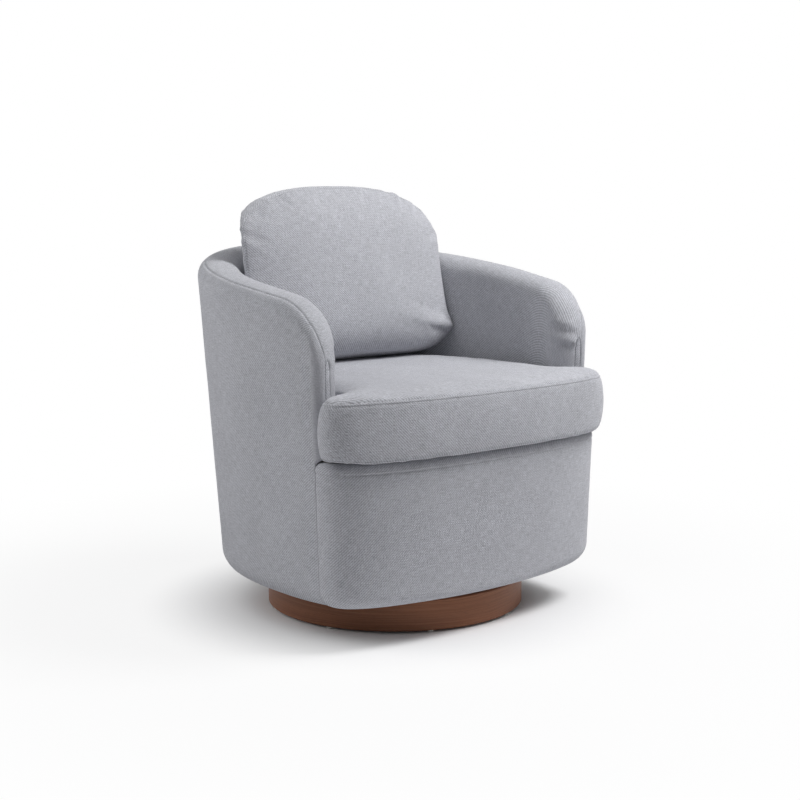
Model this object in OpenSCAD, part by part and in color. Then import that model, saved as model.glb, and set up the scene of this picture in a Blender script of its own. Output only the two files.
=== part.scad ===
// Swivel barrel chair: a round upholstered shell on a low wooden drum.
// The body turns on a ring of balls, and both cushions are loose.
// Origin on the floor under the swivel axis, +Z up, the front faces -Y.

/* [Body] */
// Width of the body at arm height
body_w = 736; // [716:1:756]
// Height at which that width is measured
wide_z = 600; // [580:1:620]
// Lean of the back and sides from the vertical, in degrees
body_lean = 4.2; // [3:0.1:5]
// Centre of the round back, behind the swivel axis
back_y = 12; // [4:1:20]
// Radius of each side, from the round back to the front corner
side_r = 840; // [780:10:1000]
// Front faces of the arms, ahead of the swivel axis
arm_front = 193; // [186:1:200]
// Set-back of the side cloth's front edge below the seat, behind the arm fronts
seam_back = 16; // [12:1:20]
// Underside of the body above the floor
body_z = 72.2; // [70:0.1:76]
// Radius of the lower edge at the sides and back
hem_r = 38; // [32:1:40]
// Radius of the lower edge at the middle of the front
front_hem_r = 10; // [8:1:12]
// Cloth turned in under the body
hem_w = 26; // [20:1:30]
// Top of the deck that the seat cushion lies on
deck_z = 336; // [330:1:342]

/* [Rim] */
// Height of the rim above the floor, over the swivel axis
rim_z = 640; // [625:1:655]
// Slope of the rim, up towards the back, in degrees
rim_slope = 9.3; // [7:0.1:11]
// Radius of the rim's fall at each arm's front, seen from the side
arm_r = 96; // [86:1:104]
// Height of the rounded crown of the rim
crown_h = 36; // [30:1:42]
// Radius of each arm's outer front corner
out_r = 18; // [15:1:20]
// Radius of each arm's inner front corner
in_r = 36; // [32:1:38]
// How much thinner the arm is at its front end
arm_thin = 17; // [12:1:20]

/* [Layers of the wall] */
// Cloth
cloth_t = 1.5; // [1:0.1:2]
// Wadding under the outside cloth
wad_t = 8; // [6:0.5:10]
// Bent board on both sides of the frame
board_t = 3; // [2:0.5:4]
// Room for the timber frame
frame_t = 24; // [22:0.5:28]
// Foam on the inside of the wall
foam_t = 41; // [36:1:46]
// Gap between one layer and the next
lay = 0.3; // [0.2:0.05:0.5]
// Extra gap of straight timber against bent board
bend_gap = 1; // [0.8:0.1:1.5]

/* [Front panel] */
// Middle of the front panel, ahead of the swivel axis, at the deck's height
apron_front = 287; // [282:1:292]
// Foam under the front panel's cloth
apron_foam_t = 12; // [9:0.5:15]
// Radius of the front panel's rolled top edge
roll_r = 14; // [11:1:16]
// Width of the cloth turned in over the deck
roll_w = 22; // [18:1:26]

/* [Frame] */
// Thickness of the seat board
seat_board_t = 15; // [13:1:18]
// Depth of its lower ply, which is set in behind the rounded edge
lower_ply_t = 10; // [9:0.5:11]
// Height of the top rail
top_rail_h = 55; // [45:1:65]
// Height of the seat rails
rail_h = 28; // [22:1:32]
// Thickness of the seat rails
rail_t = 22; // [18:1:24]
// Thickness of the posts
post_t = 21; // [18:0.5:22]
// Width of the posts
post_w = 45; // [38:1:55]

/* [Springs] */
// Number of sinuous springs
spring_n = 5; // [3:1:5]
// Distance between springs
spring_gap = 78; // [72:1:84]
// Width of a spring's waves
spring_w = 56; // [54:1:60]
// Spring wire
wire_d = 3.8; // [3:0.1:4.2]
// Waves in one spring
wave_n = 14; // [12:2:16]

/* [Drum and swivel] */
// Diameter of the drum
drum_d = 500; // [480:1:520]
// Height of the drum's hoop
drum_h = 58; // [54:1:60]
// Thickness of the hoop
hoop_t = 15; // [12:1:18]
// Height of the glides under the hoop
glide_h = 4; // [3:0.5:5]
// Diameter of a glide
glide_d = 13; // [10:0.5:14]
// Number of glides
glide_n = 8; // [6:1:10]
// Thickness of the board in the drum
drum_board_t = 15; // [12:1:18]
// Diameter of the circle of balls
race_d = 276; // [270:1:290]
// Diameter of a ball
ball_d = 5; // [4.5:0.1:5.5]
// Number of balls
ball_n = 36; // [24:1:40]
// Width of each swivel ring
ring_w = 16; // [14:0.5:18]
// Screws in each swivel ring
ring_screws = 6; // [4:1:8]

/* [Seat cushion] */
// Width across the two ears
seat_w = 692; // [686:1:706]
// Middle of the front edge, ahead of the swivel axis
seat_front = 302; // [298:1:308]
// Height of the band, from seam to seam
seat_band = 106; // [98:1:112]
// Rise of the crown above the upper seam
seat_crown = 20; // [14:1:24]
// Gap between the cushion and the arms
seat_gap = 2; // [1.5:0.1:3]

/* [Back cushion] */
// Width across the sides
back_w = 492; // [470:1:494]
// Height from the seat to the top
back_h = 346; // [330:1:356]
// Height of the rounded top part
back_arch = 118; // [100:1:130]
// Depth at the bottom, from the front edge to the wall behind it
back_d = 181; // [175:1:187]
// Lean of the front edge, in degrees
back_lean = 12; // [9:0.5:12.5]
// Bulge of the front face ahead of its edge
back_bulge = 30; // [20:1:40]
// Width of the band at the bottom
back_band = 120; // [100:1:130]
// Width of the band at the top
back_top_band = 40; // [30:1:50]

/* [Hidden] */

// Steps round an arm's front corner, along its fall, along a side and round half the back
corner_n = 4;
fall_n = 4;
side_n = 3;
back_n = 12;
// Steps over the crown, round the lower edge and across the front panel
arch_n = 9;
hem_n = 4;
apron_n = 26;
// Fineness of turned parts
$fn = 96;

cloth = [0.66, 0.68, 0.72];
foam = [0.93, 0.90, 0.78];
felt = [0.86, 0.86, 0.84];
ply = [0.80, 0.68, 0.48];
pine = [0.87, 0.75, 0.55];
hardboard = [0.55, 0.42, 0.30];
walnut = [0.42, 0.24, 0.16];
zinc = [0.74, 0.75, 0.77];
steel = [0.50, 0.51, 0.53];
plastic = [0.90, 0.90, 0.88];
cambric = [0.12, 0.12, 0.13];

// Share of the full lean at the front, and how far back it takes to grow
lean_front_share = 0.5;
lean_run = 300;
// Squareness of the crown, of the front panel's bow and of the cushions
crown_pow = 2.3;
apron_pow = 2.5;
seat_pow = 2.3;
back_pow = 2.5;

body_r = body_w / 2;
lean_t = tan(body_lean);
side_a = asin((back_y + arm_front) / (side_r - out_r));
side_len = side_r * side_a * PI / 180;
half_len = side_len + body_r * PI / 2;

// Depth of each layer below the outside surface
wad_in = cloth_t + lay;
panel_in = wad_in + wad_t + lay;
frame_in = panel_in + board_t + lay;
inner_in = frame_in + frame_t + lay;
foam_in = inner_in + board_t + lay;
wall_t = foam_in + foam_t + lay + cloth_t;

// Heights, from the floor up
drum_top = glide_h + drum_h;
board_z = body_z + cloth_t + lay;
lower_top = board_z + lower_ply_t;
board_top = board_z + seat_board_t;
deck_cloth_z = deck_z - cloth_t;
pad_t = 14;
pad_z = deck_cloth_z - lay - pad_t;
spring_rise = 4;
rail_top = pad_z - wire_d - lay * 2 - spring_rise;
rail_z = rail_top - rail_h;
rail_drop = 10;
under_crown = crown_h + rail_drop;
wave_z = pad_z - lay - wire_d / 2;

function clamp01(x) = max(0, min(1, x));
function mix(a, b, s) = a + (b - a) * s;
function spow(x, p) = sign(x) * pow(abs(x), p);

// The outside curve at a distance e from the arm's front end: centre x, radius and angle
function bend(e) = e < side_len
    ? [body_r - side_r, side_r, e / side_r * 180 / PI - side_a]
    : [0, body_r, (e - side_len) / body_r * 180 / PI];
function lean_at(e, z) = (wide_z - z) * lean_t
    * mix(lean_front_share, 1, pow(sin(90 * clamp01(e / lean_run)), 2));
// A point of the wall: side is -1 or 1, off is the depth below the outside surface
function wall_pt(side, e, off, z) = let (b = bend(e), r = b[1] - off - lean_at(e, z))
    [side * (b[0] + r * cos(b[2])), back_y + r * sin(b[2]), z];
function wall_at(e) = wall_t - arm_thin * pow(1 - clamp01(e / side_len), 2);
function fall(e, t) = e >= arm_r ? 0
    : arm_r - t - sqrt(max(0, pow(arm_r - t, 2) - pow(arm_r - e, 2)));
function crown_z(e, t) = rim_z + wall_pt(1, e, wall_at(e) / 2, wide_z)[1] * tan(rim_slope)
    - fall(e, t) - t;

// Stations from an arm's front to the middle of the back
station_n = corner_n + fall_n + side_n + back_n;
function run(q) = q <= corner_n + fall_n ? mix(in_r, arm_r, (q - corner_n) / fall_n)
    : q <= corner_n + fall_n + side_n
    ? mix(arm_r, side_len, (q - corner_n - fall_n) / side_n)
    : mix(side_len, half_len, (q - corner_n - fall_n - side_n) / back_n);
function turn(q) = 90 * min(q, corner_n) / corner_n;
// Distance from the front end, on a corner of radius r that starts at distance start
function corner_e(q, r, t, start) = q <= corner_n
    ? start + t + (r - t) * (1 - cos(turn(q))) : run(q);
function corner_off(q, r, t) = t + (r - t) * (1 - sin(turn(q)));

// Every station of the wall from the first index on, from one arm's front to the other's
function stations(first) = concat(
    [for (q = [first : station_n]) [-1, q]],
    [for (q = [station_n - 1 : -1 : first]) [1, q]]);

// The crown of the wall at depth t, from the outside over the top to the inside
function crown(s, t) = let (
    q = s[1],
    e0 = corner_e(q, out_r, t, 0), e1 = corner_e(q, in_r, t, 0),
    o0 = corner_off(q, out_r, t), o1 = wall_at(e1) - corner_off(q, in_r, t),
    half = (o1 - o0) / 2, h = crown_h - t)
    [for (j = [0 : arch_n]) let (
        a = 180 * j / arch_n, w = (1 - spow(cos(a), 2 / crown_pow)) / 2,
        e = mix(e0, e1, w))
        wall_pt(s[0], e, o0 + 2 * half * w,
            crown_z(e, t) - h + h * pow(sin(a), 2 / crown_pow))];
// Radius of the side cloth's front edge, and the lining's lower edge inside the rounded hem
seam_r = 3;
lining_share = 0.45;
lining_z = body_z + hem_r * lining_share;
hem_in = hem_r + hem_w;
// The outside of the wall below the crown, from the turned-in hem up
function flank(s, t) = let (
    q = s[1],
    e = corner_e(q, seam_r, t, seam_back), o = corner_off(q, seam_r, t),
    e_up = corner_e(q, out_r, t, 0), o_up = corner_off(q, out_r, t))
    concat([wall_pt(s[0], e, o + hem_in, body_z + t)],
        [for (j = [0 : hem_n]) let (a = 90 * j / hem_n)
            wall_pt(s[0], e, o + (hem_r - t) * (1 - sin(a)), body_z + hem_r - (hem_r - t) * cos(a))],
        [wall_pt(s[0], e, o, deck_z), wall_pt(s[0], e_up, o_up, deck_z + front_hem_r)]);
// The lower end of the inside of the wall
function inner_end(s, t, z) = let (q = s[1], e = corner_e(q, in_r, t, 0))
    [wall_pt(s[0], e, wall_at(e) - corner_off(q, in_r, t), z)];

// A closed loop made of an outer chain and an inner chain of the same length
function pair(a, b) = concat(a, [for (i = [len(b) - 1 : -1 : 0]) b[i]]);

// Joins a row of such loops, with a strip across each end. The faces of the inner chain are
// split the other way, apart from its first ones up to the number turn.
module loft(loops, turn = 0) {
    n = len(loops[0]);
    m = len(loops);
    half = n / 2;
    last = (m - 1) * n;
    skin = [for (k = [0 : m - 2]) for (j = [0 : n - 1]) let (
        i = (j + 1) % n, a = k * n + j, b = k * n + i, c = b + n, d = a + n)
        each j < half + turn ? [[a, c, b], [a, d, c]] : [[a, d, b], [b, d, c]]];
    ends = [for (j = [0 : half - 2]) let (a = j, b = j + 1, c = n - 2 - j, d = n - 1 - j)
        each [[a, b, c], [a, c, d],
            [last + a, last + c, last + b], [last + a, last + d, last + c]]];
    polyhedron([for (l = loops) each l], concat(skin, ends), convexity = 8);
}

// Joins closed rings, with a fan from each end ring to a tip. The faces of rings turn0 to
// turn1 are split the other way, so that they lie along those of the layer they face.
module domes(tip0, rings, tip1, turn0 = 0, turn1 = 0) {
    n = len(rings[0]);
    m = len(rings);
    last = (m - 1) * n;
    skin = [for (k = [0 : m - 2]) for (j = [0 : n - 1]) let (
        i = (j + 1) % n, a = k * n + j, b = k * n + i, c = b + n, d = a + n)
        each k >= turn0 && k < turn1 ? [[a, d, b], [b, d, c]] : [[a, c, b], [a, d, c]]];
    fans = [for (j = [0 : n - 1]) let (i = (j + 1) % n)
        each [[m * n, j, i], [m * n + 1, last + i, last + j]]];
    polyhedron(concat([for (r = rings) each r], [tip0, tip1]), concat(skin, fans),
        convexity = 8);
}

// A bar of the wall between two depths, from a lower height to the wall's own height
module wall_bar(list, off0, off1, z0, z1) {
    loft([for (s = list) let (e = s[1])
        pair([wall_pt(s[0], e, off0, z0), wall_pt(s[0], e, off0, z1 ? z1 : under(e))],
            [wall_pt(s[0], e, off1, z0), wall_pt(s[0], e, off1, z1 ? z1 : under(e))])]);
}
// A layer under the outside cloth, with a step at each height where the cloth has one
module wall_layer(off0, off1, z0, z1) {
    loft([for (s = bar_list(shell_start)) pair(layer_chain(s, off0, z0), layer_chain(s, off1, z1))]);
}
function layer_chain(s, off, z0) = [for (z = [z0, deck_z, deck_z + front_hem_r, under(s[1])])
    wall_pt(s[0], s[1], off, z)];
// Height of what lies under the crown
function under(e) = crown_z(e, 0) - under_crown;
// Distances from the front end for bars that start behind the arm's front corner
bar_start = in_r + lay;
// Those that reach up to the crown start where its underside is level across
shell_start = run(corner_n + 1);
function bar_runs(e0) = concat([e0], [for (q = [corner_n + 1 : station_n])
    if (run(q) > e0 + lay) run(q)]);
function bar_list(e0) = let (r = bar_runs(e0))
    concat([for (e = r) [-1, e]], [for (i = [len(r) - 2 : -1 : 0]) [1, r[i]]]);

// The front panel's bow at depth t and height z, with its ends where the side cloth ends
seam_e = seam_back + seam_r;
function apron_end_y() = wall_pt(1, seam_back, 0, wide_z)[1] - lay;
function bow(t, z) = let (
    a = wall_pt(1, seam_e, 0, z)[0] - t,
    b = apron_front + apron_end_y() - t - (lean_at(0, z) - lean_at(0, deck_z)))
    [a, b];
function bow_pt(a, t, z) = let (s = bow(t, z))
    [s[0] * spow(cos(a), 2 / apron_pow),
        apron_end_y() - s[1] * pow(sin(a), 2 / apron_pow), z];
// Angles across the bow, closer together near the corners
bow_ease_share = 0.6;
function bow_a(i) = let (u = i / apron_n) 180 * (u - sin(720 * u) / (4 * PI) * bow_ease_share);

// Plan of a T-shaped sheet or cushion with its edge drawn in by t, at height z
plan_front_n = 9;
plan_notch_n = 4;
plan_back_n = 9;
ear_r = 20;
function plan_half(t, z, front, side, gap, er, back_steps) = let (
    arm_x = wall_pt(1, in_r, wall_at(in_r), z)[0],
    nx = arm_x + in_r, ny = in_r - arm_front, nr = in_r + gap + t,
    back_r = body_r - lean_at(half_len, z) - wall_t - side - t,
    ear_y = -arm_front - gap - t)
    concat(front,
        er > 0 ? [for (w = [30, 60, 90]) let (p = front[len(front) - 1])
            [p[0] - er * (1 - cos(w)), ear_y - er * (1 - sin(w))]] : [],
        [for (i = [0 : plan_notch_n]) let (w = 270 - 90 * i / plan_notch_n)
            [nx + nr * cos(w), ny + nr * sin(w)]],
        [for (i = [0 : back_steps]) let (w = 90 * i / back_steps)
            [back_r * cos(w), back_y + back_r * sin(w)]]);
// The front curve, from the middle to the end of the bow
function plan_front(a, b, mid_y, p) = [for (i = [0 : plan_front_n]) let (w = 90 - 90 * i / plan_front_n)
    [a * pow(cos(w), 2 / p), mid_y - b * pow(sin(w), 2 / p)]];
function mirrored(half) = concat(half, [for (i = [len(half) - 2 : -1 : 1])
    [-half[i][0], half[i][1]]]);

// A round tube along a flat path
wire_sides = 5;
module flat_tube(path, r) {
    n = len(path);
    rings = [for (i = [0 : n - 1]) let (
        d = path[min(i + 1, n - 1)] - path[max(i - 1, 0)], u = d / norm(d), v = [-u[1], u[0], 0])
        [for (k = [0 : wire_sides - 1]) let (a = 360 * k / wire_sides)
            path[i] + r * (v * cos(a) + [0, 0, 1] * sin(a))]];
    domes(path[0], rings, path[n - 1]);
}

// A countersunk wood screw with its head's flat top at the origin, pointing down
screw_d = 4;
screw_head_d = 8;
screw_head_h = 2.4;
screw_play = 0.2;
module wood_screw(len) {
    tip = screw_d;
    rotate_extrude()
        polygon([[0, 0], [screw_head_d / 2, 0], [screw_d / 2, -screw_head_h],
            [screw_d / 2, tip - len], [0, -len]]);
}
// The plain hole for its thread, and the sunk hole for the whole screw
module pilot(len) {
    translate([0, 0, -len - screw_play])
        cylinder(d = screw_d + screw_play, h = len + screw_play * 2);
}
module screw_hole(len) {
    pilot(len);
    translate([0, 0, -screw_head_h - screw_play])
        cylinder(d1 = screw_d + screw_play, d2 = screw_head_d + screw_play,
            h = screw_head_h + screw_play);
}

module around(n, r, z, start = 0) {
    for (i = [0 : n - 1]) rotate([0, 0, start + 360 * i / n]) translate([r, 0, z]) children();
}

// Drum
hoop_in = drum_d / 2 - hoop_t;
hoop_mid = drum_d / 2 - hoop_t / 2;
hoop_edge = 2;
pin_d = 2.6;
pin_len = 12;
drum_board_z = drum_top - drum_board_t;
block_n = 6;
block_w = 60;
block_t = 24;
block_foot = 6;
block_r = hoop_in - block_t / 2;
plinth_screw_len = 32;
access_d = 14;

module plinth_hoop() {
    color(walnut) difference() {
        translate([0, 0, glide_h]) rotate_extrude() polygon([
            [hoop_in, hoop_edge / 2], [hoop_in + hoop_edge / 2, 0],
            [drum_d / 2 - hoop_edge, 0], [drum_d / 2, hoop_edge],
            [drum_d / 2, drum_h - hoop_edge], [drum_d / 2 - hoop_edge, drum_h],
            [hoop_in, drum_h]]);
        around(glide_n, hoop_mid, glide_h - lay, glide_start)
            cylinder(d = pin_d + screw_play, h = pin_len + lay * 2);
    }
}
glide_start = 20;
module glides() {
    color(plastic) around(glide_n, hoop_mid, 0, glide_start) rotate_extrude() polygon([
        [0, 0], [glide_d / 2 - glide_h / 4, 0], [glide_d / 2, glide_h / 4],
        [glide_d / 2, glide_h], [pin_d / 2, glide_h], [pin_d / 2, glide_h + pin_len],
        [0, glide_h + pin_len]]);
}
module plinth_board() {
    color(ply) difference() {
        translate([0, 0, drum_board_z]) cylinder(r = hoop_in - lay, h = drum_board_t);
        around(ring_screws, outer_screw_r, drum_top) pilot(ring_screw_len);
        around(block_n, block_r, drum_top, 180 / block_n) screw_hole(plinth_screw_len);
        translate([inner_screw_r, 0, drum_board_z - lay])
            cylinder(d = access_d, h = drum_board_t + lay * 2);
    }
}
module plinth_blocks() {
    color(pine) difference() {
        intersection() {
            around(block_n, block_r, glide_h + block_foot, 180 / block_n)
                translate([-block_t / 2, -block_w / 2, 0])
                    cube([block_t, block_w, drum_board_z - glide_h - block_foot]);
            cylinder(r = hoop_in - lay, h = drum_top);
        }
        around(block_n, block_r, drum_top, 180 / block_n) pilot(plinth_screw_len);
    }
}
module plinth_screws() {
    color(zinc) around(block_n, block_r, drum_top, 180 / block_n) wood_screw(plinth_screw_len);
}

// Swivel: two rings one inside the other, with balls between them
race_r = race_d / 2;
race_gap = 1.2;
race_play = 0.1;
ring_step = 1.5;
ring_h = board_z - drum_top - ring_step;
ball_z = (drum_top + board_z) / 2;
cage_t = 1.6;
cage_h = 7;
ring_screw_len = 14;
screw_row_share = 0.6;
outer_screw_r = race_r + race_gap + ring_w * screw_row_share;
inner_screw_r = race_r - race_gap - ring_w * screw_row_share;

module race() {
    translate([0, 0, ball_z]) rotate_extrude() translate([race_r, 0])
        circle(d = ball_d + race_play * 2, $fn = 32);
}
// A hole through a ring with room for the head, half way down
module sunk_hole() {
    screw_hole(ring_h);
    cylinder(d = screw_head_d + screw_play, h = ring_h);
}
module swivel_outer_ring() {
    color(steel) difference() {
        translate([0, 0, drum_top]) cylinder(r = race_r + race_gap + ring_w, h = ring_h);
        translate([0, 0, drum_top - lay]) cylinder(r = race_r + race_gap, h = ring_h + lay * 2);
        race();
        around(ring_screws, outer_screw_r, drum_top + ring_h / 2) sunk_hole();
    }
}
module outer_ring_screws() {
    color(zinc) around(ring_screws, outer_screw_r, drum_top + ring_h / 2)
        wood_screw(ring_h / 2 + ring_screw_len - screw_play);
}
module swivel_inner_ring() {
    color(steel) difference() {
        translate([0, 0, board_z - ring_h]) cylinder(r = race_r - race_gap, h = ring_h);
        translate([0, 0, board_z - ring_h - lay])
            cylinder(r = race_r - race_gap - ring_w, h = ring_h + lay * 2);
        race();
        around(ring_screws, inner_screw_r, board_z - ring_h / 2) mirror([0, 0, 1]) sunk_hole();
    }
}
module inner_ring_screws() {
    color(zinc) around(ring_screws, inner_screw_r, board_z - ring_h / 2) mirror([0, 0, 1])
        wood_screw(ring_h / 2 + seat_board_t - screw_play * 4);
}
module ball_cage() {
    color(plastic) difference() {
        translate([0, 0, ball_z - cage_h / 2]) cylinder(r = race_r + cage_t / 2, h = cage_h);
        translate([0, 0, ball_z - cage_h]) cylinder(r = race_r - cage_t / 2, h = cage_h * 2);
        around(ball_n, race_r, ball_z) rotate([0, 90, 0])
            cylinder(d = ball_d + race_play * 3, h = cage_t * 2, center = true, $fn = 24);
    }
}
module bearing_balls() {
    color(steel) around(ball_n, race_r, ball_z) sphere(d = ball_d, $fn = 24);
}

// Timber frame
front_post_e = bar_start;
side_post_e = side_len - post_w;
back_post_share = 0.75;
back_post_e = half_len - body_r * back_post_share;
apron_depth = wad_in + apron_foam_t + lay + board_t + lay;

// Outline of the seat board at a depth behind the side's and the front panel's surface
function board_plan(off, front_off, z) = let (r = bar_runs(bar_start))
    concat([for (e = r) let (p = wall_pt(1, e, off, z)) [p[0], p[1]]],
        [for (i = [len(r) - 2 : -1 : 0]) let (p = wall_pt(-1, r[i], off, z)) [p[0], p[1]]],
        [for (i = [apron_n : -1 : 0]) let (p = bow_pt(bow_a(i), front_off, z)) [p[0], p[1]]]);

module seat_board() {
    color(ply) difference() {
        union() {
            translate([0, 0, board_z]) linear_extrude(lower_ply_t)
                polygon(board_plan(hem_r, hem_r, board_z));
            translate([0, 0, lower_top]) linear_extrude(seat_board_t - lower_ply_t)
                polygon(board_plan(frame_in, apron_depth, lower_top));
        }
        around(ring_screws, inner_screw_r, board_z - lay)
            cylinder(d = screw_d + screw_play, h = seat_board_t + lay * 2);
        translate([0, 0, board_z - lay]) cylinder(d = race_d / 4, h = seat_board_t + lay * 2);
    }
}
module posts(list) {
    color(pine) for (p = list) let (ends = [[p[0], p[1]], [p[0], p[1] + post_w]])
        wall_bar(p[0] < 0 ? ends : [ends[1], ends[0]], frame_in + bend_gap,
            frame_in + bend_gap + post_t, board_top + lay, post_top(p[1]));
}
function post_top(e) = under(min(e, half_len)) - top_rail_h - lay * 2;
module front_posts() {
    posts([[-1, front_post_e], [1, front_post_e]]);
}
module side_posts() {
    posts([[-1, side_post_e], [1, side_post_e]]);
}
module back_posts() {
    posts([[-1, back_post_e], [1, back_post_e]]);
    color(pine) translate([-post_w / 2, 0, 0]) middle_post();
}
// The post in the middle of the back leans as the wall does
module middle_post() {
    y0 = wall_pt(1, half_len, frame_in + bend_gap * 2, board_top)[1];
    h = post_top(half_len) - board_top - lay;
    multmatrix([[1, 0, 0, 0], [0, 1, lean_t, y0 - post_t], [0, 0, 1, board_top + lay]])
        cube([post_w, post_t, h]);
}
module top_rail() {
    color(ply) loft([for (s = bar_list(shell_start)) let (e = s[1], z = under(e))
        pair([wall_pt(s[0], e, frame_in, z - top_rail_h), wall_pt(s[0], e, frame_in, z)],
            [wall_pt(s[0], e, frame_in + frame_t, z - top_rail_h),
                wall_pt(s[0], e, frame_in + frame_t, z)])]);
}
rail_in = frame_in + bend_gap + post_t + bend_gap;
module seat_rail() {
    color(ply) wall_bar(bar_list(bar_start), rail_in, rail_in + rail_t, rail_z, rail_top);
}
module front_rail() {
    y1 = wall_pt(1, bar_start, frame_in, rail_z)[1] - lay;
    out = [for (i = [0 : apron_n]) let (p = bow_pt(bow_a(i), apron_depth, rail_z)) [p[0], p[1]]];
    in = [for (i = [apron_n : -1 : 0]) let (p = bow_pt(bow_a(i), apron_depth + rail_t, rail_z))
        [p[0], p[1]]];
    color(ply) translate([0, 0, rail_z]) linear_extrude(rail_h) polygon(concat(
        [[out[0][0], y1]], out, [[out[apron_n][0], y1], [in[0][0], y1]], in, [[in[apron_n][0], y1]]));
}
module apron_studs() {
    color(pine) for (a = [50, 90, 130]) {
        p = bow_pt(a, apron_depth + bend_gap, board_top);
        q = bow_pt(a + 1, apron_depth + bend_gap, board_top);
        translate([p[0], p[1], board_top + lay])
            rotate([0, 0, atan2(q[1] - p[1], q[0] - p[0]) + 180])
                translate([-post_w / 2, 0, 0])
                    cube([post_w, post_t - bend_gap, rail_z - board_top - lay * 2]);
    }
}
module outer_panel() {
    color(hardboard) wall_layer(panel_in, panel_in + board_t, lining_z, lining_z);
}
module inner_panel() {
    color(hardboard) wall_bar(bar_list(shell_start), inner_in, inner_in + board_t, pad_z, 0);
}
module apron_panel() {
    color(hardboard) bow_bar(apron_depth - lay - board_t, apron_depth - lay,
        lower_top, rail_top + wire_d);
}
module bow_bar(t0, t1, z0, z1) {
    loft([for (i = [0 : apron_n]) let (a = bow_a(i))
        pair([bow_pt(a, t0, z0), bow_pt(a, t0, z1)], [bow_pt(a, t1, z0), bow_pt(a, t1, z1)])]);
}

// Springs, held at each end by a bar in a clip
clip_l = 13;
clip_w = 12;
clip_h = wave_z - rail_top + wire_d / 2;
wire_play = 0.3;
function spring_x(i) = (i - (spring_n - 1) / 2) * spring_gap;
function front_y(x) = let (s = bow(apron_depth + rail_t / 2, rail_z))
    apron_end_y() - s[1] * pow(1 - pow(abs(x) / s[0], apron_pow), 1 / apron_pow);
function rail_y(x) = let (r = body_r - lean_at(half_len, rail_z) - rail_in - rail_t / 2)
    back_y + sqrt(r * r - x * x);
module spring_clips() {
    color(zinc) for (i = [0 : spring_n - 1]) let (x = spring_x(i)) {
        for (y = [front_y(x), rail_y(x)])
            translate([x, y, rail_top]) difference() {
                translate([-clip_l / 2, -clip_w / 2, 0]) cube([clip_l, clip_w, clip_h]);
                translate([0, 0, wave_z - rail_top]) rotate([0, 90, 0])
                    cylinder(d = wire_d + wire_play * 2, h = clip_l + lay * 2, center = true, $fn = 32);
            }
    }
}
module seat_springs() {
    color(steel) for (i = [0 : spring_n - 1]) let (x = spring_x(i)) {
        y0 = front_y(x);
        step = (rail_y(x) - y0) / wave_n;
        r = step / 2;
        reach = spring_w / 2 - r;
        flat_tube([for (k = [0 : wave_n]) let (d = k % 2 == 0 ? 1 : -1, y = y0 + k * step)
            each concat([[x - d * reach, y, wave_z], [x + d * reach, y, wave_z]],
                k == wave_n ? [] : [for (w = [60, 120])
                    [x + d * (reach + r * sin(w)), y + r * (1 - cos(w)), wave_z]])],
            wire_d / 2);
    }
}

// Upholstery
// The deck's front edge follows the front panel's, up to where the arms stand
function deck_front(y1) = let (
    p = [for (i = [apron_n / 2 : -1 : 0]) let (q = bow_pt(bow_a(i), roll_w + lay, pad_z)) [q[0], q[1]]],
    ahead = [for (q = p) if (q[1] < y1) q], n = len(ahead), a = ahead[n - 1], b = p[n])
    concat(ahead, [mix(a, b, (y1 - a[1]) / (b[1] - a[1]))]);
deck_plan = mirrored(plan_half(0, pad_z, deck_front(-arm_front - lay * 2), lay, lay, 0, back_n));
module deck_pad() {
    color(felt) translate([0, 0, pad_z]) linear_extrude(pad_t) polygon(deck_plan);
}
module deck_cloth() {
    color(cambric) translate([0, 0, deck_cloth_z]) linear_extrude(cloth_t) polygon(deck_plan);
}
module barrel_foam() {
    color(foam) loft([for (s = stations(0)) let (
        q = s[1], e = corner_e(q, in_r, wad_in, 0), z0 = q < corner_n ? deck_z + lay : pad_z,
        e_out = corner_e(q, out_r, wad_in, 0), off = corner_off(q, out_r, wad_in),
        back = q < corner_n ? out_r + lay : foam_in,
        top = under(e_out) + lay, step = under(e) + lay)
        pair(concat([wall_pt(s[0], e_out, off, top)], crown(s, wad_in), inner_end(s, wad_in, z0)),
            concat([for (j = [0 : arch_n + 1]) let (w = (j + 1) / (arch_n + 2))
                    wall_pt(s[0], mix(e_out, e, w), mix(off, back, w), mix(top, step, w))],
                [wall_pt(s[0], e, back, z0)]))], 1);
}
module barrel_wadding() {
    color(felt) wall_layer(wad_in, wad_in + wad_t, body_z + hem_r, lining_z);
}
// Rounds out the arm's outer front corner, ahead of the frame
module arm_front_pads() {
    run = concat([for (q = [1 : corner_n])
        [corner_e(q, out_r, wad_in, 0), corner_off(q, out_r, wad_in)]], [[in_r, wad_in]]);
    n = len(run) - 1;
    color(foam) for (side = [-1, 1])
        loft([for (i = [0 : n]) let (p = run[side < 0 ? i : n - i], z = under(min(p[0], out_r)) - bend_gap * 2)
            pair([wall_pt(side, p[0], p[1], deck_z + front_hem_r), wall_pt(side, p[0], p[1], z)],
                [wall_pt(side, p[0], out_r, deck_z + front_hem_r), wall_pt(side, p[0], out_r, z)])]);
}
module apron_foam() {
    color(foam) loft([for (i = [0 : apron_n]) let (a = bow_a(i), z = deck_z - wad_in)
        pair([bow_pt(a, wad_in, body_z + bow_hem(a)), bow_pt(a, wad_in, z - roll_r),
                bow_pt(a, wad_in + roll_r * (1 - sin(45)), z - roll_r * (1 - sin(45))),
                bow_pt(a, wad_in + roll_r, z)],
            [bow_pt(a, wad_in + apron_foam_t, lining_z),
                bow_pt(a, wad_in + apron_foam_t, rail_top + wire_d + lay),
                bow_pt(a, roll_w, rail_top + wire_d + lay),
                bow_pt(a, roll_w, z)])]);
}
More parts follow.
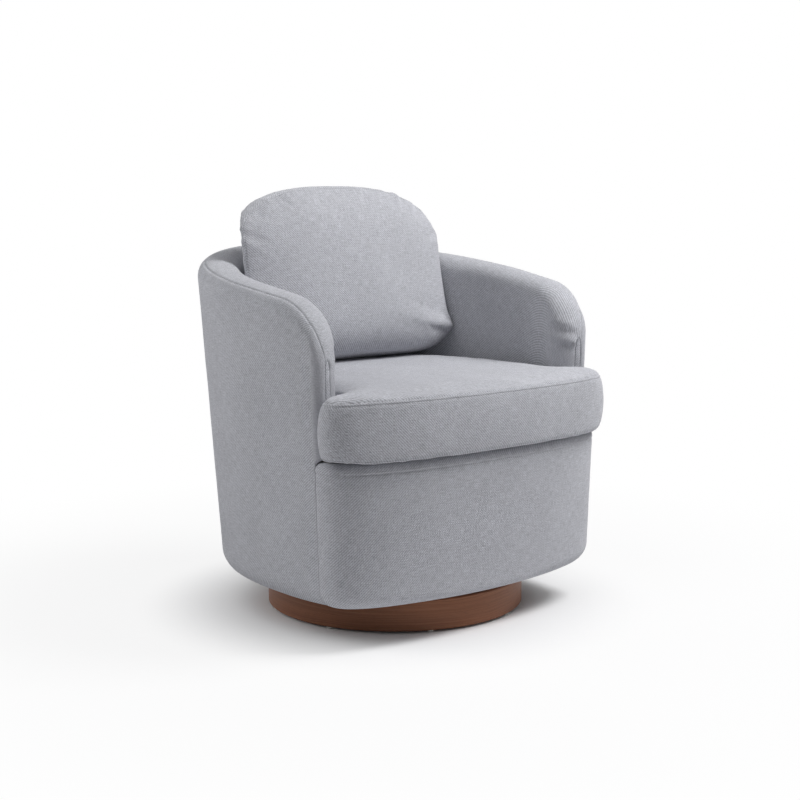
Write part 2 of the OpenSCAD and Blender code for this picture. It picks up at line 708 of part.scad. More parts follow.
module barrel_cover() {
    color(cloth) loft([for (s = stations(0))
        pair(concat(flank(s, 0), crown(s, 0), inner_end(s, 0, pad_z)),
            concat(flank(s, cloth_t), crown(s, cloth_t), inner_end(s, cloth_t, pad_z)))]);
}
// The lower edge is rounder towards the corners
hem_pow = 1.2;
function bow_hem(a) = mix(front_hem_r, hem_r, pow(abs(cos(a)), hem_pow));
function apron_chain(a, t) = let (r = bow_hem(a), top = deck_z)
    concat([bow_pt(a, hem_in, body_z + t)],
        [for (j = [0 : hem_n]) let (w = 90 * j / hem_n)
            bow_pt(a, t + (r - t) * (1 - sin(w)), body_z + r - (r - t) * cos(w))],
        [for (j = [0 : hem_n]) let (w = 90 * j / hem_n)
            bow_pt(a, t + (roll_r - t) * (1 - cos(w)), top - roll_r + (roll_r - t) * sin(w))],
        [bow_pt(a, roll_w, top - t)]);
module apron_cover() {
    color(cloth) loft([for (i = [0 : apron_n]) let (a = bow_a(i))
        pair(apron_chain(a, 0), apron_chain(a, cloth_t))]);
}
// The narrow strip between the two corner seams of an arm, with an arched top
module facing(side) {
    o0 = out_r + lay;
    o1 = wall_at(0) - in_r - lay;
    top = crown_z(0, 0) - lay;
    rise = crown_h - lay;
    half = (arch_n - 1) / 2;
    color(cloth) loft([for (e = side < 0 ? [0, cloth_t] : [cloth_t, 0])
        pair(concat([wall_pt(side, e, o0, deck_z + front_hem_r)],
                [for (j = [0 : half]) arch_pt(side, e, o0, o1, top, rise, j)]),
            concat([wall_pt(side, e, o1, deck_z + front_hem_r)],
                [for (j = [0 : half]) arch_pt(side, e, o1, o0, top, rise, j)]))]);
}
function arch_pt(side, e, o0, o1, top, rise, j) = let (a = 180 * j / arch_n)
    wall_pt(side, e, mix(o0, o1, (1 - spow(cos(a), 2 / crown_pow)) / 2),
        top - rise + rise * pow(sin(a), 2 / crown_pow));
module arm_facing_left() {
    facing(1);
}
module arm_facing_right() {
    facing(-1);
}
module dust_cover() {
    color(cambric) translate([0, 0, body_z - lay - cloth_t]) linear_extrude(cloth_t)
        difference() {
            polygon(board_plan(hem_r + front_hem_r, hem_r + front_hem_r, body_z));
            circle(r = race_r + race_gap + ring_w + bend_gap);
        }
}

// Seat cushion
seat_base_t = cloth_t;
seat_z = deck_z + lay;
seam_lo = seat_z + seat_base_t + lay;
seam_hi = seam_lo + seat_band;
ear_mid = arm_front + ear_r + seat_gap;
function seat_plan(t, z) = mirrored(plan_half(t, z,
    plan_front(seat_w / 2 - t, seat_front - ear_mid - t, -ear_mid, seat_pow),
    seat_gap, seat_gap, max(ear_r - t, lay), plan_back_n));
seat_c = [0, -arm_front - in_r];
tuck = 3;
edge_t = 12;
function raise(ring, z) = [for (p = ring) [p[0], p[1], z]];
function toward(ring, s, z) = [for (p = ring) let (q = mix([p[0], p[1]], seat_c, s))
    [q[0], q[1], z]];
// Rings of the cushion at depth t: lower seam, band, upper seam and crown. The crown's rings
// lie at shares of the way to its middle, and rise by shares of its height.
way_shares = [0, 0.1, 0.3, 0.6];
rise_shares = [0.38, 0.72, 0.93, 1];
slant_share = 0.7;
function seat_rings(t) = let (edge = seat_plan(edge_t + t, seam_hi))
    concat([raise(seat_plan(tuck + t, seam_lo), seam_lo),
        raise(seat_plan(t, seam_lo), seam_lo + edge_t),
        raise(seat_plan(t, seam_hi), seam_hi - edge_t),
        raise(seat_plan(tuck + t, seam_hi), seam_hi - t * slant_share)],
        [for (i = [0 : 3]) toward(edge, way_shares[i], seam_hi + seat_crown * rise_shares[i] - t)]);
module seat_cushion_cover() {
    a = seat_rings(0);
    b = seat_rings(cloth_t);
    n = len(a);
    color(cloth) domes([seat_c[0], seat_c[1], seam_hi + seat_crown - cloth_t],
        concat([for (i = [n - 1 : -1 : 0]) b[i]], a),
        [seat_c[0], seat_c[1], seam_hi + seat_crown], 0, n - 1);
}
module seat_cushion_base_cloth() {
    color(cloth) translate([0, 0, seat_z]) linear_extrude(seat_base_t)
        polygon([for (p = seat_plan(tuck, seam_lo)) [p[0], p[1]]]);
}
module seat_cushion_core() {
    t = cloth_t + lay;
    r = seat_rings(t);
    color(foam) domes([seat_c[0], seat_c[1], seam_lo], r,
        [seat_c[0], seat_c[1], seam_hi + seat_crown - t]);
}

// Back cushion: a D-shaped pillow that leans on the inside of the back
back_z0 = seam_hi + seat_crown + lay;
back_mid = back_z0 + back_h - back_arch;
tip_share = 0.7;
back_tip = [0, mix(back_z0, back_mid, tip_share)];
back_arc_n = 9;
back_side_n = 4;
corner_in = 14;
function back_half() = concat(
    [for (i = [0 : 2]) [(back_w / 2 - corner_in) * i / 3, back_z0]],
    [[back_w / 2 - corner_in, back_z0]],
    [for (i = [1 : back_side_n]) let (u = i / back_side_n)
        [back_w / 2 - corner_in * pow(1 - u, 2), mix(back_z0, back_mid, u)]],
    [for (i = [1 : back_arc_n]) let (w = 90 * i / back_arc_n)
        [back_w / 2 * pow(cos(w), 2 / back_pow), back_mid + back_arch * pow(sin(w), 2 / back_pow)]]);
function back_edge(t) = [for (p = mirrored_x(back_half())) let (d = p - back_tip)
    p - d / norm(d) * t];
function mirrored_x(half) = concat(half, [for (i = [len(half) - 2 : -1 : 1])
    [-half[i][0], half[i][1]]]);
function edge_y(z) = wall_y(0, back_z0, 0) - back_d + (z - back_z0) * tan(back_lean);
// The face of the wall behind the cushion
function wall_y(x, z, t) = let (r = body_r - lean_at(half_len, z) - wall_t - bend_gap - t)
    back_y + sqrt(r * r - x * x);
// The rear face lies on the wall, and comes away from it above the rim
top_depth_share = 1.4;
leave_pow = 0.8;
taper_pow = 0.5;
function rear_y(x, z, t) = let (top = back_z0 + back_h, w = wall_y(x, z, t))
    mix(w, min(w, edge_y(z) + back_top_band * top_depth_share - t),
        pow(clamp01((z - rim_z) / (top - rim_z)), leave_pow));
function dome_share(s) = sqrt(1 - pow(1 - s, 2));
function band_y(p, t) = min(edge_y(p[1]) - t
    + mix(back_band, back_top_band, pow(clamp01((p[1] - back_z0) / back_h), taper_pow)),
    rear_y(p[0], p[1], t));
ring_shares = [0, 0.08, 0.22, 0.45, 0.75];
// Rings of the front face and of the rear face, at depth t
function front_ring(s, t) = [for (p = back_edge(t)) let (q = mix(p, back_tip, s))
    [q[0], edge_y(q[1]) - back_bulge * dome_share(s) + t, q[1]]];
function rear_ring(s, t) = [for (p = back_edge(t)) let (q = mix(p, back_tip, s))
    [q[0], mix(band_y(p, t), rear_y(q[0], q[1], t), dome_share(s)), q[1]]];
function front_tip(t) = [back_tip[0], edge_y(back_tip[1]) - back_bulge + t, back_tip[1]];
function rear_tip(t) = [back_tip[0], rear_y(0, back_tip[1], t), back_tip[1]];
module back_cushion_front() {
    n = len(ring_shares);
    color(cloth) domes(front_tip(cloth_t), concat(
        [for (i = [n - 1 : -1 : 0]) front_ring(ring_shares[i], cloth_t)],
        [band_ring(cloth_t), band_ring(0)],
        [for (s = ring_shares) front_ring(s, 0)]), front_tip(0), 0, n - 1);
}
// Where the band meets the rear cloth
function band_ring(t) = [for (p = back_edge(t)) [p[0], band_y(p, cloth_t) - lay * 2, p[1]]];
module back_cushion_rear() {
    n = len(ring_shares);
    color(cloth) domes(rear_tip(0), concat(
        [for (i = [n - 1 : -1 : 0]) rear_ring(ring_shares[i], 0)],
        [for (s = ring_shares) rear_ring(s, cloth_t)]), rear_tip(cloth_t), n, n * 2 - 1);
}
module back_cushion_filling() {
    t = cloth_t + lay * 2;
    n = len(ring_shares);
    color(foam) domes(rear_tip(t), concat(
        [for (i = [n - 1 : -1 : 0]) rear_ring(ring_shares[i], t)],
        [for (s = ring_shares) front_ring(s, t)]), front_tip(t));
}

plinth_hoop();
plinth_board();
plinth_blocks();
plinth_screws();
glides();
swivel_outer_ring();
outer_ring_screws();
ball_cage();
bearing_balls();
swivel_inner_ring();
inner_ring_screws();
seat_board();
front_posts();
side_posts();
back_posts();
seat_rail();
front_rail();
apron_studs();
top_rail();
outer_panel();
inner_panel();
apron_panel();
spring_clips();
seat_springs();
deck_pad();
deck_cloth();
barrel_foam();
barrel_wadding();
arm_front_pads();
apron_foam();
barrel_cover();
apron_cover();
arm_facing_left();
arm_facing_right();
dust_cover();
seat_cushion_cover();
seat_cushion_base_cloth();
seat_cushion_core();
back_cushion_front();
back_cushion_rear();
back_cushion_filling();
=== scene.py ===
# %% [markdown]
# # A swivel barrel chair, dressed for its portrait
# The chair is a round upholstered shell on a low walnut drum. Its hidden frame, springs and
# ball race come from the CAD model, which is loaded first and never moved. What this lesson
# adds is everything an upholsterer and a finisher would add: the cloth, the two cushions, the
# seams, the wood's grain, the floor and the light.

# %% Load the frame
import math
import bpy
import bmesh
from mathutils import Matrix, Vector, noise
from mathutils.bvhtree import BVHTree
from mathutils.kdtree import KDTree


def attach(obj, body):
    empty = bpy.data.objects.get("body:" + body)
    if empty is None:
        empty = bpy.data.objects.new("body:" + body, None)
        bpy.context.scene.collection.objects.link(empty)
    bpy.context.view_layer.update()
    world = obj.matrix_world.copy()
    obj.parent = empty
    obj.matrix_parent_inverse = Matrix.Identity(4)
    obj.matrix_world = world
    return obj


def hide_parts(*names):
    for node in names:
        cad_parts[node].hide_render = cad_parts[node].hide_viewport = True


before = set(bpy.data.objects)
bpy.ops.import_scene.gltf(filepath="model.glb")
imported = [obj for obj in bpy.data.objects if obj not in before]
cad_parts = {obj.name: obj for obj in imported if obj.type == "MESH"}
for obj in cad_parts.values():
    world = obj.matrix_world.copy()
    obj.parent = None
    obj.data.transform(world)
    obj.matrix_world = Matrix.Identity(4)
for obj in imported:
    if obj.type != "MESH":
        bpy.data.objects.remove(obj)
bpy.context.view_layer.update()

scene = bpy.context.scene

# %% [markdown]
# ## The camera
# The photograph looks down a little on the chair's left front corner, from three metres away
# through a short telephoto lens. The camera's place, its two angles and its lens were found by
# laying the CAD model's outline over the photograph. They come first, because every later
# choice is judged through them.

# %% Camera
CAMERA_AT, LOOK_DOWN, LOOK_RIGHT, LENS = (-1.9404, -2.2880, 0.8111), 7.856, 40.485, 69.84
camera = bpy.data.objects.new("camera", bpy.data.cameras.new("camera"))
scene.collection.objects.link(camera)
camera.location = CAMERA_AT
camera.rotation_euler = (math.radians(90 - LOOK_DOWN), 0, math.radians(-LOOK_RIGHT))
camera.data.sensor_width = 36
camera.data.lens = LENS
camera.data.clip_end = 60
scene.camera = camera
print("camera placed")

# %% [markdown]
# ## Helpers for shape
# A panel of cloth starts life flat. So each cloth piece here is a flat grid, made by one bmesh
# operator, whose points are then moved onto the form that it covers. The grid's own rows and
# columns become the warp and weft, and the UV map keeps their true lengths in metres, so the
# weave in the material follows the cloth round every corner.

# %% Cloth panel helper
MM = 0.001
CLOTH_DEPTH = 0.0012


def show(name, mesh, material, body):
    """Shows a mesh as a smooth piece that rides on a body."""
    mesh.materials.clear()
    mesh.materials.append(material)
    for face in mesh.polygons:
        face.use_smooth = True
    piece = bpy.data.objects.new(name, mesh)
    scene.collection.objects.link(piece)
    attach(piece, body)
    return piece


def mesh_of(name, bm):
    mesh = bpy.data.meshes.new(name)
    bm.to_mesh(mesh)
    bm.free()
    return mesh


def new_piece(name, bm, material, body):
    return show(name, mesh_of(name, bm), material, body)


def lay_panel(strips, facing, relief=None, weld=False):
    """A flat grid laid on a form. strips holds one list of points in mm for each column,
    facing is (column, row, direction that the cloth faces there), and relief(i, j, point)
    gives how far, in mm, a point stands proud of the form."""
    columns, rows = len(strips), len(strips[0])
    bm = bmesh.new()
    bmesh.ops.create_grid(bm, x_segments=columns - 1, y_segments=rows - 1, size=1)
    spots = {}
    for vert in bm.verts:
        i = round((vert.co.x + 1) / 2 * (columns - 1))
        j = round((vert.co.y + 1) / 2 * (rows - 1))
        spots[i, j] = vert
    for (i, j), vert in spots.items():
        vert.co = strips[i][j] * MM
    middle = rows // 2
    across, along = [0.0], {}
    for i in range(1, columns):
        across.append(across[-1] + (spots[i, middle].co - spots[i - 1, middle].co).length)
    for i in range(columns):
        along[i, 0] = 0.0
        for j in range(1, rows):
            along[i, j] = along[i, j - 1] + (spots[i, j].co - spots[i, j - 1].co).length
    where = {spots[i, j]: (across[i], along[i, j]) for i, j in spots}
    uv = bm.loops.layers.uv.new("cloth")
    for face in bm.faces:
        for loop in face.loops:
            loop[uv].uv = where[loop.vert]
    bm.normal_update()
    i, j, direction = facing
    if spots[i, j].normal.dot(Vector(direction)) < 0:
        bmesh.ops.reverse_faces(bm, faces=bm.faces)
        bm.normal_update()
    if relief:
        moves = {vert: vert.normal * relief(i, j, strips[i][j]) * MM
                 for (i, j), vert in spots.items()}
        for vert, move in moves.items():
            vert.co += move
    if weld:
        bmesh.ops.remove_doubles(bm, verts=bm.verts, dist=2e-5)
    return bm


def give_thickness(piece, thickness=CLOTH_DEPTH):
    """Gives a sheet its thickness, on the side that it doesn't face."""
    solid = piece.modifiers.new("thickness", "SOLIDIFY")
    solid.thickness = thickness
    solid.offset = -1
    solid.use_even_offset = False
    return piece


def area_of(piece):
    return sum(face.area for face in piece.data.polygons)


def clamp01(x):
    return max(0.0, min(1.0, x))


def mix(a, b, s):
    return a + (b - a) * s


def ease(x):
    """Smooth step from 0 to 1."""
    x = clamp01(x)
    return x * x * (3 - 2 * x)


def spow(x, p):
    """A power that keeps the sign."""
    return math.copysign(abs(x) ** p, x)


def wobble(point, size, seed=0.0):
    """Smooth noise from -1 to 1 that changes over about size mm."""
    return noise.noise(Vector((point[0] / size + seed, point[1] / size, point[2] / size)))


def beside(gap, reach):
    """1 on a line, and less and less at a distance gap from it."""
    return math.exp(-gap / reach)


def crease(across, width):
    """The rounded section of a crease."""
    return math.exp(-(across / width) ** 2)


def tree_of(points):
    """Finds the nearest of some points."""
    tree = KDTree(len(points))
    for k, point in enumerate(points):
        tree.insert(point, k)
    tree.balance()
    return tree


print("helpers ready")

# %% [markdown]
# ## The shape of the shell
# Seen from above, the shell is half a circle at the back that runs on into two long gentle
# curves to the arm fronts. The wall leans in towards the floor, its rim slopes up to the back
# and falls away in a quarter round at each arm. These few functions say so, in millimetres,
# with the same values as the CAD model, so the cloth lies where the solid cloth lay.

# %% The shell's sizes and curves
BODY_R, WIDE_Z, LEAN = 368.0, 600.0, math.radians(4.2)
BACK_Y, SIDE_R, ARM_FRONT, SEAM_BACK = 12.0, 840.0, 193.0, 16.0
BODY_Z, HEM_R, FRONT_HEM_R, HEM_W, DECK_Z = 72.2, 38.0, 10.0, 26.0, 336.0
RIM_Z, RIM_SLOPE, ARM_R, CROWN_H = 640.0, math.radians(9.3), 96.0, 36.0
OUT_R, IN_R, ARM_THIN, WALL_T, CLOTH_T, LAY = 18.0, 36.0, 17.0, 83.8, 1.5, 0.3
SIDE_A = math.asin((BACK_Y + ARM_FRONT) / (SIDE_R - OUT_R))
SIDE_LEN = SIDE_R * SIDE_A
HALF_LEN = SIDE_LEN + BODY_R * math.pi / 2
PAD_Z = DECK_Z - CLOTH_T - LAY - 14
CROWN_POW = 2.3
FRONT_LEAN, LEAN_RUN = 0.5, 300.0


def lean_at(e, z):
    """How far the wall has leant in at a height. Near the arm's front it leans less."""
    share = mix(FRONT_LEAN, 1, math.sin(math.pi / 2 * clamp01(e / LEAN_RUN)) ** 2)
    return (WIDE_Z - z) * math.tan(LEAN) * share


def wall_pt(side, e, off, z):
    """A point at distance e from the arm's front end, off below the outside surface."""
    if e < SIDE_LEN:
        centre, radius, angle = BODY_R - SIDE_R, SIDE_R, e / SIDE_R - SIDE_A
    else:
        centre, radius, angle = 0, BODY_R, (e - SIDE_LEN) / BODY_R
    r = radius - off - lean_at(e, z)
    return Vector((side * (centre + r * math.cos(angle)), BACK_Y + r * math.sin(angle), z))


def wall_at(e):
    """The wall's thickness, which grows along the arm."""
    return WALL_T - ARM_THIN * (1 - clamp01(e / SIDE_LEN)) ** 2


def crown_z(e, t=0.0):
    """The height of the rim, or of a layer t below it."""
    drop = 0 if e >= ARM_R else (ARM_R - t) - math.sqrt(
        max(0, (ARM_R - t) ** 2 - (ARM_R - e) ** 2))
    return RIM_Z + wall_pt(1, e, wall_at(e) / 2, WIDE_Z).y * math.tan(RIM_SLOPE) - drop - t


print("half the shell's length round the outside: %.0f mm" % HALF_LEN)

# %% [markdown]
# ## The cloth
# The covers are a pale grey linen-look twill: warp and weft of slightly different greys, with
# slubs, thicker places in the yarn, that show as short streaks along both directions. An image
# texture would be the quick way, but a weave made of nodes has no edges or repeats. The yarns
# are sine ridges in UV space, and a second sine along the diagonal gives the twill's ribs. Two
# long thin noises give the slubs, a fine one the flecks of a mixed yarn, and a broad one the
# cloudy tones. The same yarns, ribs and slubs drive the bump, so light and colour agree.

# %% Node helpers


class Net:
    """A node tree with short ways to add to it. Values are numbers, colours or sockets."""

    def __init__(self, tree):
        self.nodes, self.links = tree.nodes, tree.links

    def plug(self, value, socket):
        if isinstance(value, (int, float)):
            socket.default_value = value
        elif isinstance(value, tuple):
            socket.default_value = (*value, 1)
        else:
            self.links.new(value, socket)

    def maths(self, operation, a, b=None, clamp=False):
        node = self.nodes.new("ShaderNodeMath")
        node.operation = operation
        node.use_clamp = clamp
        self.plug(a, node.inputs[0])
        if b is not None:
            self.plug(b, node.inputs[1])
        return node.outputs[0]

    def stretch(self, value, middle, factor, clamp=False):
        """(value - middle) * factor."""
        return self.maths("MULTIPLY", self.maths("SUBTRACT", value, middle), factor, clamp)

    def weighed(self, *terms, clamp=False):
        """The sum of (value, weight) pairs."""
        parts = [self.maths("MULTIPLY", *term) for term in terms]
        total = parts[0]
        for part in parts[1:]:
            total = self.maths("ADD", total, part, clamp=clamp and part is parts[-1])
        return total

    def blend(self, factor, a, b):
        node = self.nodes.new("ShaderNodeMix")
        node.data_type = "RGBA"
        for value, number in ((factor, 0), (a, 6), (b, 7)):
            self.plug(value, node.inputs[number])
        return node.outputs[2]

    def noise(self, vector, scale, detail=2.0, roughness=0.5):
        """Noise whose cells are 1/scale metres long along each direction of vector."""
        place = self.nodes.new("ShaderNodeMapping")
        place.vector_type = "POINT"
        place.inputs["Scale"].default_value = scale
        self.links.new(vector, place.inputs["Vector"])
        grain = self.nodes.new("ShaderNodeTexNoise")
        grain.inputs["Scale"].default_value = 1
        grain.inputs["Detail"].default_value = detail
        grain.inputs["Roughness"].default_value = roughness
        self.links.new(place.outputs[0], grain.inputs["Vector"])
        return grain.outputs["Fac"]

    def object_space(self):
        return self.nodes.new("ShaderNodeTexCoord").outputs["Object"]

    def split(self, vector):
        node = self.nodes.new("ShaderNodeSeparateXYZ")
        self.links.new(vector, node.inputs[0])
        return node.outputs

    def finish(self, colour, rough=None, height=None, strength=0.5, depth=0.0006):
        """Colours the surface, and breaks up its shine and its face."""
        shader = self.nodes["Principled BSDF"]
        self.links.new(colour, shader.inputs["Base Color"])
        if rough is not None:
            self.links.new(rough, shader.inputs["Roughness"])
        if height is not None:
            bump = self.nodes.new("ShaderNodeBump")
            bump.inputs["Strength"].default_value = strength
            bump.inputs["Distance"].default_value = depth
            self.links.new(height, bump.inputs["Height"])
            self.links.new(bump.outputs[0], shader.inputs["Normal"])

    def seen_or(self, share, lit, plain, output):
        """Shows the camera and mirrors a share of plain, while all other light meets lit."""
        rays = self.nodes.new("ShaderNodeLightPath")
        seen = self.maths("ADD", rays.outputs["Is Camera Ray"], rays.outputs["Is Glossy Ray"])
        seen = self.maths("ADD", seen, rays.outputs["Is Transmission Ray"], clamp=True)
        both = self.nodes.new("ShaderNodeMixShader")
        self.plug(self.maths("MULTIPLY", share, seen), both.inputs[0])
        self.links.new(lit.outputs[0], both.inputs[1])
        self.links.new(plain.outputs[0], both.inputs[2])
        self.links.new(both.outputs[0], self.nodes[output].inputs["Surface"])


def new_material(name, colour, roughness, specular=0.5):
    material = bpy.data.materials.new(name)
    material.use_nodes = True
    material.diffuse_color = (*colour, 1)
    net = Net(material.node_tree)
    shader = net.nodes["Principled BSDF"]
    shader.inputs["Base Color"].default_value = (*colour, 1)
    shader.inputs["Roughness"].default_value = roughness
    shader.inputs["Specular IOR Level"].default_value = specular
    return material, net, shader


def mixed(a, b, s):
    return tuple(mix(x, y, s) for x, y in zip(a, b))


print("node helpers ready")

# %% The chair's twill


def woven_cloth(name, dark, light, yarn=0.0013, rib=4, slub=1.0, roughness=0.88, sheen=0.2):
    """A twill weave in the UV map called cloth, which is in metres."""
    material, net, shader = new_material(name, mixed(dark, light, 0.5), roughness, 0.25)
    shader.inputs["Sheen Weight"].default_value = sheen
    shader.inputs["Sheen Roughness"].default_value = 0.5
    uv_map = net.nodes.new("ShaderNodeUVMap")
    uv_map.uv_map = "cloth"
    uv = uv_map.outputs[0]
    stray = net.stretch(net.noise(uv, (60, 60, 1)), 0.5, yarn * 2.2)
    u, v, _ = net.split(uv)
    along = net.maths("ADD", u, stray)
    up = net.maths("SUBTRACT", v, stray)
    turn = 2 * math.pi / yarn
    warp, weft, ribs = (net.maths("SINE", net.maths("MULTIPLY", way, rate)) for way, rate in (
        (along, turn), (up, turn), (net.maths("ADD", along, up), turn / rib)))
    over = net.maths("ADD", net.maths("MULTIPLY", ribs, 1.2), 0.5, clamp=True)
    either = net.nodes.new("ShaderNodeMix")
    either.data_type = "FLOAT"
    for value, number in ((over, 0), (weft, 2), (warp, 3)):
        net.links.new(value, either.inputs[number])
    yarns = either.outputs[0]
    warp_slub, weft_slub = net.noise(uv, (640, 62, 1)), net.noise(uv, (50, 640, 1))
    slubs = net.maths("ADD", net.maths("SUBTRACT", warp_slub, 0.5),
                      net.maths("SUBTRACT", weft_slub, 0.5))
    flecks = net.maths("SUBTRACT", net.noise(uv, (560, 560, 1), 2, 0.6), 0.5)
    cloud = net.maths("SUBTRACT", net.noise(uv, (11, 9, 1)), 0.5)
    tone = net.weighed((slubs, 0.95 * slub), (flecks, 0.9 * slub), (cloud, 0.25), (yarns, 0.22),
                       (ribs, 0.29))
    net.finish(net.blend(net.maths("ADD", tone, 0.5, clamp=True), dark, light),
               height=net.weighed((yarns, 0.4), (ribs, 0.5), (slubs, 0.8)))
    return material


cover_cloth = woven_cloth("cover_cloth", (0.285, 0.288, 0.315), (0.665, 0.672, 0.72))
lining_cloth = woven_cloth("lining_cloth", (0.012, 0.012, 0.014), (0.035, 0.035, 0.038), yarn=0.0009,
                           rib=2, slub=0.5, roughness=0.95, sheen=0.0)
print("made the cloths")

# %% [markdown]
# ## The shell's cloth
# On the real chair one large cover is pulled down over the foam: it turns in under the body,
# goes up the outside, over the rim and down the inside to the deck. It could be a solid with
# bevels, but an upholstered wall is never quite even. So it is one fine panel that is laid on
# the shell's curves, then moved a little along its normals: broad unevenness of half a
# millimetre, puckers beside the seams at the arm fronts, and the short pulled folds that show
# inside each arm. Its foam lies 1.8 mm under it, so nothing is drawn in deeper than 1.3 mm. A
# shallow groove down the middle of the back stands for the seam that joins its two halves. Low
# down, the cloth runs forward to the front panel and leaves an even groove beside it. Solidify
# gives it the thickness of cloth.

# %% One strip of the shell, from the hem over the rim to the deck
HEM_STEPS, LOW_STEPS, HIGH_STEPS, INNER_STEPS = 8, 27, 30, 70
SEAM_TURN, TUCK_IN = 6, 1.5
ARCH_ROWS = [0, 1, 2, 3, 4, 5, SEAM_TURN - 0.2, SEAM_TURN, SEAM_TURN + 0.2] + list(range(7, 21))
SEAM_STEP = 4 + HEM_STEPS + LOW_STEPS + 1 + HIGH_STEPS - 1 + ARCH_ROWS.index(SEAM_TURN)


def corner(radius, start, turn):
    """Distance from the front and depth, at an angle round a corner of the arm's front."""
    return start + radius * (1 - math.cos(turn)), radius * (1 - math.sin(turn))


SEAM_OPEN, DRAWN_REACH = 1.3, 90.0


def seam_shift(e, z):
    """How far forward the low cloth is drawn, for an even groove at the front panel."""
    seam_y = wall_pt(1, SEAM_BACK, 0, WIDE_Z).y
    r = SIDE_R - lean_at(SEAM_BACK, z)
    shift = SEAM_BACK - SIDE_R * (SIDE_A - math.asin((BACK_Y - seam_y) / r))
    return (shift - SEAM_OPEN) * (1 - ease((e - SEAM_BACK - 2) / DRAWN_REACH))


def shell_strip(side, turn, run, tuck=0.0):
    """The points of one strip in mm. turn is 0 to 90 degrees at the corner, then run counts.

    tuck is how far the cloth is turned in past the seam: straight in beside the front panel,
    and a little way in, then behind the facing, at the arm's front.
    """
    def spot(radius, start):
        return (run, 0.0) if run is not None else corner(radius, start, turn)
    low_e, low_off = spot(1.4, SEAM_BACK)
    out_e, out_off = spot(OUT_R, 0)
    in_e, in_off = spot(IN_R, 0)
    low_off += tuck
    back, under = min(tuck, TUCK_IN), max(tuck - TUCK_IN, 0)
    out_off += under
    in_off += under
    points = []
    for k in range(4):
        points.append(wall_pt(side, low_e - seam_shift(low_e, BODY_Z),
                              low_off + HEM_R + HEM_W * (1 - k / 4), BODY_Z))
    for k in range(HEM_STEPS):
        a = math.pi / 2 * k / HEM_STEPS
        z = BODY_Z + HEM_R * (1 - math.cos(a))
        points.append(wall_pt(side, low_e - seam_shift(low_e, z),
                              low_off + HEM_R * (1 - math.sin(a)), z))
    top = DECK_Z + 16
    for k in range(LOW_STEPS + 1):
        z = mix(BODY_Z + HEM_R, top, k / LOW_STEPS)
        s = ease((z - DECK_Z + 4) / 14)
        e = low_e - seam_shift(low_e, z)
        points.append(wall_pt(side, mix(e, out_e + back, s), mix(low_off, out_off, s), z))
    side_in = wall_at(in_e) - in_off
    start_z = crown_z(out_e) - CROWN_H
    for k in range(1, HIGH_STEPS):
        points.append(wall_pt(side, out_e + back, out_off, mix(top, start_z, k / HIGH_STEPS)))
    for k in ARCH_ROWS:
        a = math.pi * k / ARCH_ROWS[-1]
        w = (1 - spow(math.cos(a), 2 / CROWN_POW)) / 2
        e = mix(out_e, in_e, w)
        rise = (CROWN_H - under) * math.sin(a) ** (2 / CROWN_POW)
        points.append(wall_pt(side, e + back, mix(out_off, side_in, w), crown_z(e) - CROWN_H + rise))
    end_z = crown_z(in_e) - CROWN_H
    for k in range(1, INNER_STEPS + 1):
        points.append(wall_pt(side, in_e + back, side_in, mix(end_z, PAD_Z, k / INNER_STEPS)))
    return points


def shell_strips(side):
    """Strips from an arm's front seam to the middle of the back, as (turn, run, tuck)."""
    made = [(0, None, TUCK_IN + 4.0), (0, None, TUCK_IN), (0.03, None, 0.5)]
    made += [(math.radians(5 + 85 * (k / 11) ** 1.3), None, 0) for k in range(12)]
    count = 112
    made += [(None, mix(IN_R, HALF_LEN, k / count), 0) for k in range(1, count)]
    made += [(None, HALF_LEN - 1.6, 0), (None, HALF_LEN, 0)]
    return [(side, *one) for one in made]


left, right = shell_strips(-1), shell_strips(1)
strips = left + right[-2::-1]
print(len(strips), "strips of", len(shell_strip(*strips[40])), "points")

# %% Lay the shell's cloth
DEEPEST, LEFT_PULL, FOLDS_END = -1.3, 0.3, 150
BACK_SEAM_FROM, BACK_SEAM_DEPTH = 12, 1.2
# each fold: its height at the arm's front, its rise, its width, its depth and its reach
FOLDS = ((533, 0.27, 7, 4.2, 60), (523, 0.27, 4, -4.0, 62),
         (504, 0.25, 8, 4.6, 58), (492, 0.24, 4, -4.0, 54))


def shell_relief(i, j, point):
    """Unevenness, the rim's seam, puckers and the folds pulled inside the arms, in mm."""
    side, turn, run, tuck = strips[i]
    if tuck:
        return 0
    if j == SEAM_STEP:
        return DEEPEST
    x, y, z = point
    behind = turn * IN_R if run is None else math.pi / 2 * IN_R + run - IN_R
    high = 0.55 * wobble(point, 105, 3.1) + 0.22 * wobble(point, 43, 7.7)
    high += 0.45 * beside(behind, 9) * wobble((x * 0.2, y * 0.2, z), 7.5, 1.3)
    high += 0.5 * beside(abs(j - SEAM_STEP), 1.6) * wobble((x, y, z * 0.3), 9, 4.4)
    if run == HALF_LEN and BACK_SEAM_FROM < j < SEAM_STEP:
        high -= BACK_SEAM_DEPTH
    if j > SEAM_STEP + 4 and behind < FOLDS_END:
        pulled = 1.0 if side > 0 else LEFT_PULL
        fade = ease((j - SEAM_STEP - 4) / 6)
        for start, rise, wide, deep, reach in FOLDS:
            across = crease(z - start - rise * behind, wide)
            high += pulled * deep * fade * across * crease(behind, reach)
    return max(high, DEEPEST)


shell_points = [shell_strip(*strip) for strip in strips]
middle_strip = len(strips) // 2
shell = lay_panel(shell_points, (middle_strip, 30, (0, 1, 0)), shell_relief)
shell_cloth = give_thickness(new_piece("barrel_cloth", shell, cover_cloth, "seat"))
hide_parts("barrel_cover")

# %% [markdown]
# ## The narrow facings of the arms
# Between its outer and its inner corner seam each arm has a strip of cloth no wider than a
# finger, that ends in the arch of the rim. Both its edges turn into the seams, which is what
# draws the two fine dark lines down the arm's front.

# %% Arm facings
EDGE_IN = 1.3
